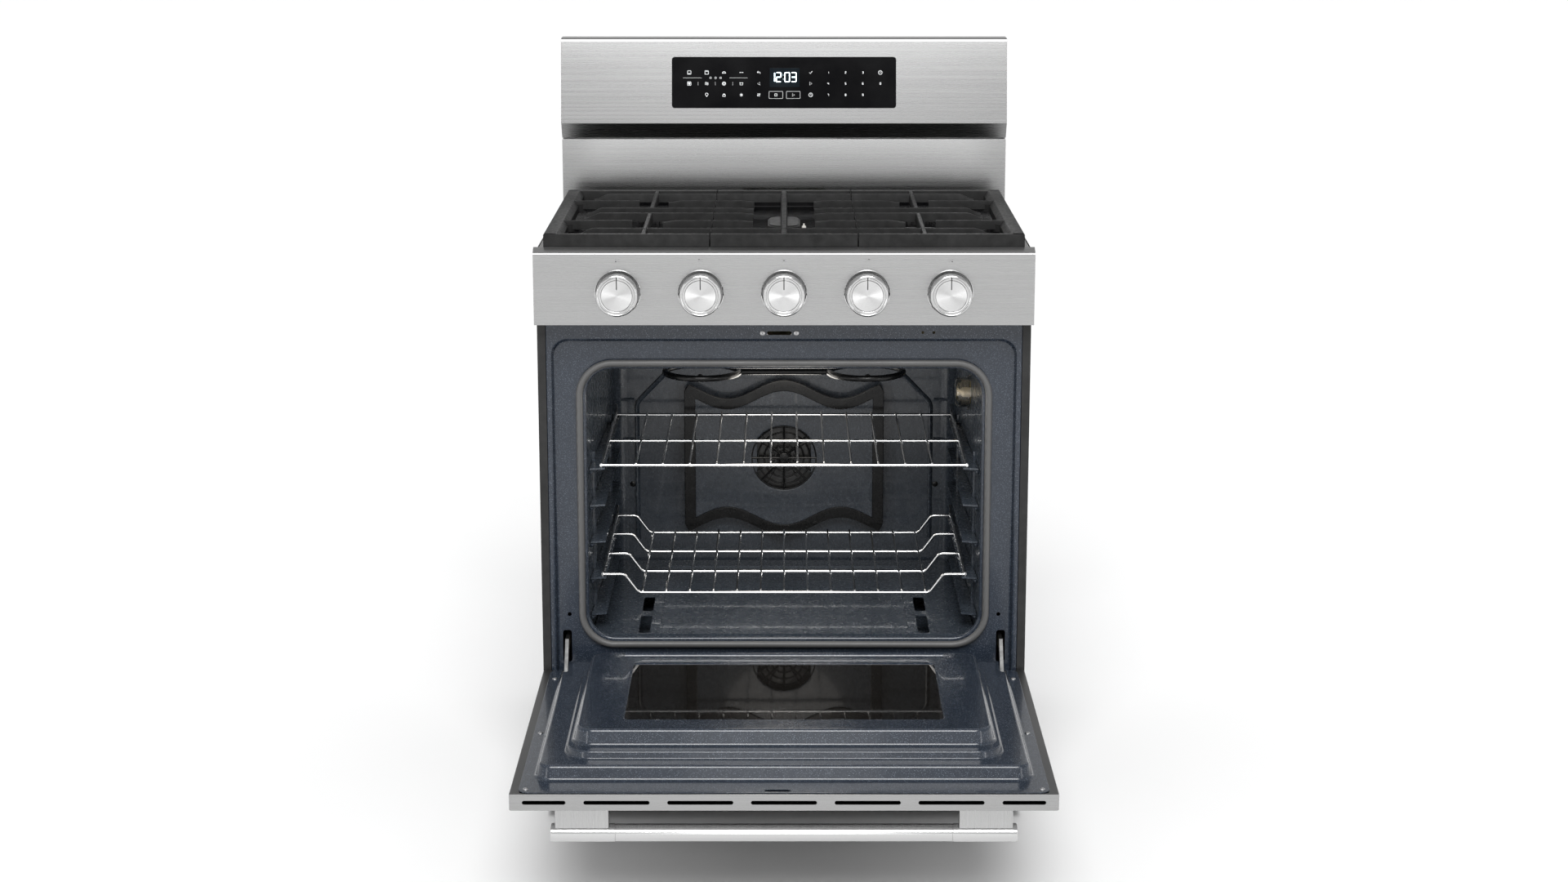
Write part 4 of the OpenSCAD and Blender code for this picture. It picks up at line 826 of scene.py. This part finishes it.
def front_frame():
    lo, hi = box("front_frame")
    rim_y, field_y = lo.y, lo.y + 10.5
    hw, low, top = hi.x, lo.z, hi.z
    under = low - 60  # the rings run on below the sheet, which is then cut off
    field_hw, field_top, field_r = hw - 8.8, top - 31.8, 25
    rings = [upright(hw, under, top, 2.4, rim_y + y) for y in (9, 0.8)]
    rings.append(upright(hw - 0.8, under, top - 0.8, 2, rim_y))
    for inset, rise in bend_profile(10.5, 3.2, 1.2):
        w, t = field_hw - inset, field_top - inset
        rings.append(upright(w, under + 30, t, field_r - inset, rim_y + rise))
    for out, rise in ((7, 0.0), (4.5, -0.7), (2.2, -0.3), (0.9, 0.6), (0.2, 1.9), (0, 3.4)):
        w, low_z, top_z = MOUTH_HW + out, MOUTH_LOW - out, MOUTH_TOP + out
        rings.append(upright(w, low_z, top_z, MOUTH_R + out, field_y + rise))
    bm = bmesh.new()
    loft(bm, rings)
    bmesh.ops.bisect_plane(
        bm, geom=bm.verts[:] + bm.edges[:] + bm.faces[:],
        plane_co=(0, 0, low), plane_no=(0, 0, -1), clear_outer=True,
    )
    outlines = [rounded(-26, 12, LATCH_Z - 3, LATCH_Z + 3, 2.9, 5)]
    for x in (-ARM_X, ARM_X):
        outlines.append(rounded(x - 7, x + 7, ARM_HI.z - 40, ARM_HI.z + 12, 4, 5))
    outlines += [arc(x, LATCH_Z + 1, 2.2)[:-1] for x in (213.57, 230.52)]
    outlines += [arc(x, 322, 3.2)[:-1] for x in (-338, 338)]
    slots = bmesh.new()
    for outline in outlines:
        prism(slots, outline, -60, 60, at=TO_FRONT)
    bm = worked(bm, 1.4, slots)
    piece("front_frame_pressing", bm, PORCELAIN, "cabinet", ["front_frame"])
    bracket = bmesh.new()
    x = LATCH_HI.x - 9
    lowest = (x - 12, rim_y + 12, LATCH_Z - 7)
    slab(bracket, lowest, (x + 12, LATCH_HI.y + 4, LATCH_Z - 4), 0.6)
    piece("latch_shelf", bracket, ZINC, "cabinet")
    screws("latch_screws", [(x, rim_y, LATCH_Z) for x in (-33, 19)], 4)


def screw(bm, at, turn, r, cross=True):
    """A pan-head screw with a cross recess, whose head rises along turn's +Z."""
    place = placed(at, turn)
    h = 0.45 * r
    dome = [(r, 0), (r, 0.25 * h), (0.93 * r, 0.6 * h), (0.7 * r, 0.88 * h), (0.35 * r, h)]
    lathe(bm, dome + [(0.3 * r, h), (0.22 * r, 0.45 * h), (0, 0.35 * h)], place, 20)
    if cross:
        for a in (0, pi / 2):
            spin = place @ Matrix.Rotation(a, 4, "Z")
            slab(bm, (-0.5 * r, -0.06 * r, 0.5 * h), (0.5 * r, 0.06 * r, 0.97 * h), at=spin)


def screws(name, spots, r, turn=TO_FRONT, body="cabinet"):
    bm = bmesh.new()
    for spot in spots:
        screw(bm, spot, turn, r)
    piece(name, bm, ZINC, body)


def oven_liner():
    y0, y1 = LINER_LO.y + 1, LINER_HI.y - LINER_T
    low, back_hw = LINER_LO.z + LINER_T, MOUTH_HW - 15
    fillet, corner = 22, 40
    rings = [upright(MOUTH_HW, MOUTH_LOW, MOUTH_TOP, MOUTH_R, y) for y in (y0, y0 + 4)]
    rings.append(upright(MOUTH_HW - 0.3, low, MOUTH_TOP, corner, y0 + 7))
    taper = (MOUTH_HW - back_hw) / (y1 - y0)
    for k in range(9):
        a = radians(90 * k / 8)
        y = y1 - fillet + fillet * sin(a)
        inset = fillet - fillet * cos(a)
        w = MOUTH_HW - taper * (y - y0) - inset
        rings.append(upright(w, low + inset, MOUTH_TOP - inset, corner - inset * 0.8, y))
    bm = bmesh.new()
    loft(bm, rings, last=True)
    holes = bmesh.new()
    shaft = placed((0, 0, middle("convection_fan").z))
    prism(holes, arc(0, 0, 7, steps=24)[:-1], -LINER_HI.y - 20, -LINER_HI.y + 20, at=shaft)
    prism(holes, arc(0, 0, 20, steps=32)[:-1], 0, 60, at=placed(middle("lamp_lens"), TO_RIGHT))
    bm = worked(bm, LINER_T, holes, inward=1)
    # ribs pressed into the back wall, and the level grooves beside them
    y = y1 - 0.6
    rib = ((188, MOUTH_TOP - 26), (195, 624), (253, 564), (253, low + 70))
    for side in SIDES:
        tube(bm, bent([(side * x, y, z) for x, z in rib], 26), 5.2, 10, flat=0.6)
        for z in (570, 500):
            tube(bm, [(side * 258, y, z), (side * 280, y, z)], 3.4, 8, flat=0.6)
    piece("oven_liner_pressing", bm, OVEN_PORCELAIN, "cabinet", ["oven_liner"])
    bolts = bmesh.new()
    for side in SIDES:
        screw(bolts, (side * 144, y1 - 0.2, 608), TO_FRONT, 6, cross=False)
        screw(bolts, (side * 262, y1 - 0.2, 420), TO_FRONT, 5)
    piece("oven_bolts", bolts, BAND_ENAMEL, "cabinet")


def oven_guides():
    """Ladders pressed into the side walls: ledges joined by upright beads."""
    lo, hi = box("rack_guides")
    levels = 5
    step = (hi.z - lo.z - 3) / (levels - 1)
    taper = 13 / (hi.y - lo.y)  # the side walls close in towards the back
    bm = bmesh.new()
    for side in SIDES:
        for i in range(levels):
            z = lo.z + 1.5 + i * step
            outline = [(1, lo.y), (13.5, hi.y), (25.5, hi.y - 3), (24.5, lo.y + 6)]
            outline = [(side * (hi.x - inset), y) for inset, y in outline]
            prism(bm, outline[::-side], z - 1.5, z + 1.4, 0.9)
            for y in (lo.y + 12, (lo.y + hi.y) / 2, hi.y - 40):
                x = side * (hi.x - 0.3 - taper * (y - lo.y))
                hook = [(x, y - 9, z - 6), (x - side * 7, y, z - 2), (x, y + 9, z - 6)]
                tube(bm, bent(hook, 5), 3.2, 8)
        for y in (lo.y + 60, hi.y - 70):
            x = side * (hi.x - 0.5 - taper * (y - lo.y))
            tube(bm, [(x, y, lo.z - 10), (x, y, hi.z + 14)], 4, 10)
    piece("rack_guide_pressings", bm, OVEN_PORCELAIN, "cabinet", ["rack_guides"])


def gasket():
    w, top, low = SEAL_HI.x - SEAL_R, SEAL_HI.z - SEAL_R, SEAL_LO.z + SEAL_R
    bm = bmesh.new()
    tube(bm, upright(w, low, top, 52, SEAL_LO.y + SEAL_R, 14), SEAL_R - 0.1, 16, loop=True)
    piece("door_seal_braid", bm, SEAL, "cabinet", ["door_gasket"])


def baffle_ring(g, y):
    """Points around the scalloped baffle at y, g inside its edge."""
    lo, hi = box("fan_baffle")
    hw, mid = hi.x - g, (lo.z + hi.z) / 2
    peak = (hi.z - lo.z) / 2
    wave, pitch, corner, steps = 16, 195, 24, 48
    top = []
    for i in range(steps + 1):
        x = -hw + 2 * hw * i / steps
        z = peak - wave + wave * cos(2 * pi * x / pitch) - g
        over = max(0, abs(x) - hw + corner)
        z = min(z, peak + 4 - corner + (corner ** 2 - over ** 2) ** 0.5)
        top.append((x, z))
    return [(x, y, mid + z) for x, z in top] + [(x, y, mid - z) for x, z in reversed(top)]


def fan_baffle():
    lo, hi = box("fan_baffle")
    mid = (lo.z + hi.z) / 2
    front, plate = lo.y, lo.y + 4.3
    grille, lip_w = 56, 3
    edge_in = ((0, plate + 2), (0, front + 1.2), (0.5, front + 0.3), (1.6, front))
    edge_out = ((17.4, front), (18.5, front + 0.3), (19, front + 1.2), (19, plate))
    rings = [baffle_ring(g, y) for g, y in edge_in + edge_out]
    bm = bmesh.new()
    loft(bm, rings)

    def circle(r, y):
        """The last ring drawn in to radius r about the fan."""
        points = [(x, z - mid, r / hypot(x, z - mid)) for x, _, z in rings[-1]]
        return [(x * k, y, mid + z * k) for x, z, k in points]

    loft(bm, [rings[-1], circle(grille + lip_w, plate), circle(grille, plate + 1.5)], finish=1)
    weld(bm, 1e-3)
    bm = worked(bm, 1.0)
    at = placed((0, plate + 0.9, mid))
    for r in (12, 23, 34, 45, 55):
        ring = [at @ Vector((x, y, 0)) for x, y in arc(0, 0, r, steps=48)[:-1]]
        tube(bm, ring, 1.6, 8, loop=True)
    for k in range(4):
        a = pi * k / 4
        ends = [(s * grille * cos(a), s * grille * sin(a), 0.4) for s in SIDES]
        tube(bm, [at @ Vector(end) for end in ends], 1.8, 8)
    lathe(bm, [(9, 0), (9, 1.6), (7, 2.6), (0, 3)], at, 32)
    spacer = hi.y - plate - 1
    for x in (-140, 140):
        for z in (-70, 70):
            foot = placed((x, hi.y, mid + z))
            lathe(bm, [(0, 0), (5, 0), (5, spacer), (0, spacer)], foot, 24)
    looks = [BAND_ENAMEL, OVEN_PORCELAIN]
    piece("fan_baffle_pressing", bm, looks, "cabinet", ["fan_baffle"])


# ---- racks
SIDE_R, RAIL_R, ROD_R = 3, 2.5, 1.8  # side wires, cross rails and rods
STOP = 20  # from the last cross rail to the rear of the side wires


def rack_sides(bm, x, front, rear, z):
    """Side wires whose rear ends turn up."""
    for side in SIDES:
        points = [(front, z), (rear - 16, z), (rear - SIDE_R, z + 14)]
        tube(bm, bent([(side * x, py, pz) for py, pz in points], 10), SIDE_R, 12)


def rods(bm, count, pitch, front, rear, z):
    """Rods that lie on the cross rails, with their front ends turned down."""
    lift = SIDE_R + 1
    for i in range(count):
        x = (i - (count - 1) / 2) * pitch
        path = [(x, front, z), (x, front, z + lift), (x, rear - STOP, z + lift)]
        tube(bm, bent(path, 2, 4), ROD_R, 8)


def racks():
    lo, hi = box("rack_upper")
    x, front, rear = hi.x - SIDE_R - 0.1, lo.y + RAIL_R, hi.y + 0.8
    z = lo.z + SIDE_R + 0.15
    bm = bmesh.new()
    rack_sides(bm, x, front, rear, z)
    for y in (front, front + (rear - front) * 0.44, rear - STOP):
        tube(bm, [(-x, y, z), (x, y, z)], RAIL_R, 12)
    rods(bm, 12, 2 * x / 13.55, front, rear, z)
    piece("upper_rack_wires", bm, CHROME, "upper_rack", ["rack_upper"])

    low = box("rack_lower")[0].z + RAIL_R + 0.1
    z = low + 30
    flat, fall, count = 34, 22, 13  # the rails stay level, fall, and then cross the dropped floor
    floor_x = x - flat - fall
    half = [(x, z), (x - flat, z), (floor_x, low)]
    outline = [(-px, pz) for px, pz in half] + half[::-1]
    bm = bmesh.new()
    rack_sides(bm, x, front, rear, z)
    for i in range(4):
        y = front + i * (rear - STOP - front) / 3
        tube(bm, bent([(px, y, pz) for px, pz in outline], 12), RAIL_R, 12)
    rods(bm, count, 2 * floor_x / (count - 0.66), front, rear, low)
    piece("lower_rack_wires", bm, CHROME, "lower_rack", ["rack_lower"])


# ---- door
HINGE = Vector(next(j for j in frame["joints"] if j["name"] == "door_hinge")["pos_m"]) / MM
DOOR = Matrix.Translation(HINGE)  # the open door lies flat, with its top towards -Y
SKIN_LO, SKIN_HI = (p - HINGE for p in box("door_skin"))
PANE_LO, PANE_HI = (p - HINGE for p in box("inner_glass"))
PANE_LAP = 9  # the pane's edge that lies under the pan
WINDOW_HW = PANE_HI.x - PANE_LAP
WINDOW_NEAR, WINDOW_FAR = PANE_LAP - PANE_HI.y, -PANE_LO.y - PANE_LAP
DOOR_UP = -SKIN_LO.y
LATCH_U = LATCH_Z - HINGE.z
EDGE, SHELF_1, SHELF_2, PLATEAU = (SKIN_HI.z + rise for rise in (0, 22, 33, 56))


def door_ring(w, near, far, r, v, steps=10):
    """A rounded rectangle on the open door, from near to far off the hinge, at height v."""
    return [DOOR @ Vector((x, y, v)) for x, y in rounded(-w, w, -far, -near, r, steps)]


def window_ring(out, v, steps=10):
    near, far = WINDOW_NEAR - out, WINDOW_FAR + out
    return door_ring(WINDOW_HW + out, near, far, 8 + out, v, steps)


def door_pan():
    flange = EDGE + 1.5
    rings = [door_ring(367, -15, DOOR_UP - 3.5, 15, v) for v in (EDGE + 0.2, flange - 0.3)]
    rings.append(door_ring(366, -14, DOOR_UP - 4.5, 14, flange))
    steps = (
        (MOUTH_HW + 40, 4, DOOR_UP - 53, 22, flange, SHELF_1, 5, 3),
        (MOUTH_HW + 2, 54, DOOR_UP - 84, MOUTH_R - 4, SHELF_1, SHELF_2, 2.5, 1.5),
        (MOUTH_HW - 9, 64, DOOR_UP - 110, 28, SHELF_2, PLATEAU, 5, 3),
    )
    for w, near, far, r, low, high, fillet, slope in steps:
        for inset, rise in bend_profile(high - low, fillet, slope):
            rings.append(door_ring(w - inset, near + inset, far - inset, r - inset, low + rise))
    for out, drop in ((4, 0), (1.5, 0.3), (0.4, 1), (0, 2.2), (0, 3)):
        rings.append(window_ring(out, PLATEAU - drop))
    bm = bmesh.new()
    loft(bm, rings)
    slots = bmesh.new()
    reach = ARM_HI.z - HINGE.z + 8
    for x in (-ARM_X, ARM_X):
        prism(slots, rounded(x - 7, x + 7, -reach, 30, 3, 4), EDGE - 1, EDGE + 45, at=DOOR)
    latch_slot = rounded(-27, 9, -LATCH_U - 4, -LATCH_U + 4, 3.5, 5)
    prism(slots, latch_slot, EDGE - 6, EDGE + 6, at=DOOR)
    bm = worked(bm, 1.3, slots)
    # bead beside the window
    bead = [(side * (WINDOW_HW + 16), -85, PLATEAU - 0.6) for side in SIDES]
    tube(bm, [DOOR @ Vector(p) for p in bead], 5, 12, flat=0.72)
    piece("door_pan_pressing", bm, PORCELAIN, "door", ["door_inner_panel"])
    spots = [(side * 357, -u, flange) for side in SIDES for u in (32, 296, DOOR_UP - 17)]
    screws("door_screws", [DOOR @ Vector(p) for p in spots], 4, Matrix(), "door")


def door_skin():
    w, low, top, near = SKIN_HI.x, SKIN_LO.z, SKIN_HI.z, -SKIN_HI.y

    def ring(side, far, hinge_side, v, r):
        """The skin's outline, drawn in by each amount."""
        return door_ring(w - side, near + hinge_side, DOOR_UP - far, r, v, 8)

    rings = [window_ring(out, low + v, 8) for out, v in ((0, 1), (0.4, 0.2), (1, 0))]
    face_r, lip_r = 1.6, 0.8
    for a in (0, 30, 60, 90):
        t, rise = face_r * (1 - sin(radians(a))), face_r * (1 - cos(radians(a)))
        rings.append(ring(t, t, t, low + rise, 2.4))
    for a in (0, 45, 90):
        t, rise = lip_r * (1 - cos(radians(a))), lip_r * (1 - sin(radians(a)))
        rings.append(ring(t, t, t, top - rise, 2.4))
    bm = bmesh.new()
    loft(bm, rings)
    # the inward lip takes the darker steel, painted shade in the gap beside the pan
    loft(bm, [rings[-1], ring(14, 6, 6, top, 2)], finish=1)
    weld(bm, 1e-3)
    cuts = bmesh.new()
    count, slot_w, slot_h, pitch = 7, 91, 5.6, (2 * w - 90) / 6 + 4
    y, z = -(SKIN_LO.y + HINGE.y), HINGE.z + top - 12
    for i in range(count):
        place = i - (count - 1) / 2
        short = abs(place) == (count - 1) / 2  # the slots at the ends are shorter
        half = (slot_w - 31 if short else slot_w) / 2
        x = place * pitch - (15 if place > 0 else -15) * short
        outline = rounded(x - half, x + half, z - slot_h / 2, z + slot_h / 2, slot_h / 2 - 0.05, 6)
        prism(cuts, outline, y - 4, y + 4, at=TO_FRONT)
    for x in (-ARM_X, ARM_X):
        lo = DOOR @ Vector((x - 7, -near - 4, -13))
        slab(cuts, lo, lo + Vector((14, 10, 30)))
    bm = worked(bm, 1.1, cuts)
    piece("door_skin_wrap", bm, [STEEL, STEEL_PAINTED_SHADE], "door", ["door_skin"])


def handle():
    """A tube with a sleeve at each end, parted from it by a groove."""
    lo, hi = box("handle_bar")
    r, length = (hi.z - lo.z) / 2, hi.x - lo.x
    sleeve = 90
    half = [(0, 0.4), (r - 3, 0.3), (r - 2.2, 0)]
    for a in (0, 30, 60, 90):
        half.append((r - 1.5 + 1.5 * sin(radians(a)), 1.5 - 1.5 * cos(radians(a))))
    groove = ((0, -0.4), (0.3, 0), (0.9, 0), (0.9, 0.8), (0.5, 1.1))
    half += [(r - depth, sleeve + past) for depth, past in groove]
    profile = half + [(pr, length - ph) for pr, ph in reversed(half)]
    _, y, z = middle("handle_bar")
    bm = bmesh.new()
    lathe(bm, profile, placed((lo.x, y, z), TO_RIGHT))
    piece("handle_tube", bm, HANDLE, "door", ["handle_bar"])
    softened("handle_posts", "handle_post_blocks", STEEL_DOWN, 1.4, 3, 40)


def door():
    door_pan()
    door_skin()
    handle()
    softened("inner_glass", "door_inner_pane", DOOR_GLASS, 0.6)
    softened("outer_glass", "door_outer_pane", OUTER_GLASS, 0.5)
    softened("hinge_arms", "hinge_arm_pair", DARK_IRON, 0.5)
    softened("door_latch", "latch_hook", ZINC, 0.4)


# ---- cabinet and drawer
def cabinet():
    for word in ("left", "right"):
        softened(f"side_panel_{word}", f"side_sheet_{word}", SIDE_PAINT, 0.4)
    # the drawer front's dark steel is painted shade from the open door above it
    softened("drawer_front", "drawer_fascia", STEEL_PAINTED_SHADE, 1.2, 3)
    softened("oven_floor", "oven_floor_plate", OVEN_PORCELAIN, 0.9)
    lo, hi = box("rear_panel")
    heights = [lo.z + 30 + k * (hi.z - lo.z - 60) / 5 for k in range(6)]
    spots = [(side * (hi.x - 8), hi.y - 1.8, z) for side in SIDES for z in heights]
    screws("rear_screws", spots, 3.8, Matrix.Rotation(-pi / 2, 4, "X"))


def dress_cad_nodes():
    """Finishes for the CAD nodes that stay."""
    looks = {
        ZINC: "bake_burner leveling_feet manifold_pipe temperature_probe",
        SHEET: "base_frame rear_panel fan_motor hinge_channels drawer_box drawer_rails",
        DARK_CASTING: "burner_heads convection_fan",
        ALUMINIUM: "gas_lines pressure_regulator",
        BRASS: "gas_valves",
        BAND_ENAMEL: "broil_burner",
        LENS_GLASS: "lamp_lens",
        CERAMIC: "igniters oven_lamp",
        WOOL: "insulation",
        BOARD: "control_board",
        KNOB_BODY: " ".join(f"stem_{n}" for n in KNOBS),
    }
    for finish, nodes in looks.items():
        for node in nodes.split():
            for place in frame["nodes"][node].material_slots:
                place.material = finish


# ---- studio
def lamp(kind, name, at, power, **settings):
    """A light at a point."""
    data = bpy.data.lights.new(name, kind)
    data.energy = power
    for k, v in settings.items():
        setattr(data, k, v)
    obj = linked(name, data)
    obj.location = at
    return obj


def studio():
    scene = bpy.context.scene
    scene.view_settings.view_transform = "Standard"
    floor = bmesh.new()
    slab(floor, (-40000, -20000, -30), (40000, 60000, 0), 2)
    resize(floor, MM)
    white = Finish("studio_floor", grey(0.92), 0.8, Specular_IOR_Level=0.1)
    white.look(white.blend(white.noise(2, 2), grey(0.91), grey(0.93)))
    ground = linked("floor", mesh_from("floor", floor))
    ground.data.materials.append(white.mat)

    # white at the horizon and grey overhead
    world = bpy.data.worlds.new("studio")
    world.use_nodes = True
    nodes, wire = world.node_tree.nodes, world.node_tree.links.new
    apart = nodes.new("ShaderNodeSeparateXYZ")
    wire(nodes.new("ShaderNodeTexCoord").outputs["Generated"], apart.inputs[0])
    fade = nodes.new("ShaderNodeMapRange")
    wire(apart.outputs["Z"], fade.inputs["Value"])
    for socket, value in (("From Max", 0.3), ("To Min", 1.0), ("To Max", 0.5)):
        fade.inputs[socket].default_value = value
    wire(fade.outputs[0], nodes["Background"].inputs["Strength"])
    nodes["Background"].inputs["Color"].default_value = (1, 1, 1, 1)
    scene.world = world

    sun = lamp("SUN", "soft_sun", (0, 0, 0), 2.75, angle=radians(34))
    sun.rotation_euler = (radians(46), 0, 0)
    strips = (
        ("key", (0, -4.6, 3.4), (0, 0, 0.7), 2.2, 0.5, 22),
        ("front_strip", (0, -6.4, 1.2), (0, 0, 0.8), 0.7, 2.2, 8),
        ("left_strip", (-2.9, -3.6, 1.3), (0, 0, 0.7), 0.3, 1.9, 10),
        ("right_strip", (2.9, -3.6, 1.3), (0, 0, 0.7), 0.3, 1.9, 10),
        ("backguard_fill", (0, 0.36, 0.965), (0, 0.6, 1.12), 0.7, 0.1, 0.16),
    )
    for name, at, aim, width, height, power in strips:
        strip = lamp("AREA", name, at, power, shape="RECTANGLE", size=width, size_y=height)
        strip.rotation_euler = (Vector(aim) - Vector(at)).to_track_quat("-Z", "Y").to_euler()
        strip.visible_camera = False
    warm = (1.0, 0.95, 0.88)
    lamp("POINT", "oven_fill", (0, 0.12, 0.69), 2.5, shadow_soft_size=0.12, color=warm)

    camera = bpy.data.cameras.new("camera")
    camera.lens, camera.sensor_width, camera.clip_end = 63.9, 36, 200
    view = linked("camera", camera)
    view.location = (0, -4.225, 1.548)
    view.rotation_euler = (radians(90 - 12.63), 0, 0)
    scene.camera = view


console()
cooktop()
control_panel()
knobs()
front_frame()
oven_liner()
oven_guides()
gasket()
fan_baffle()
racks()
door()
cabinet()
dress_cad_nodes()
studio()
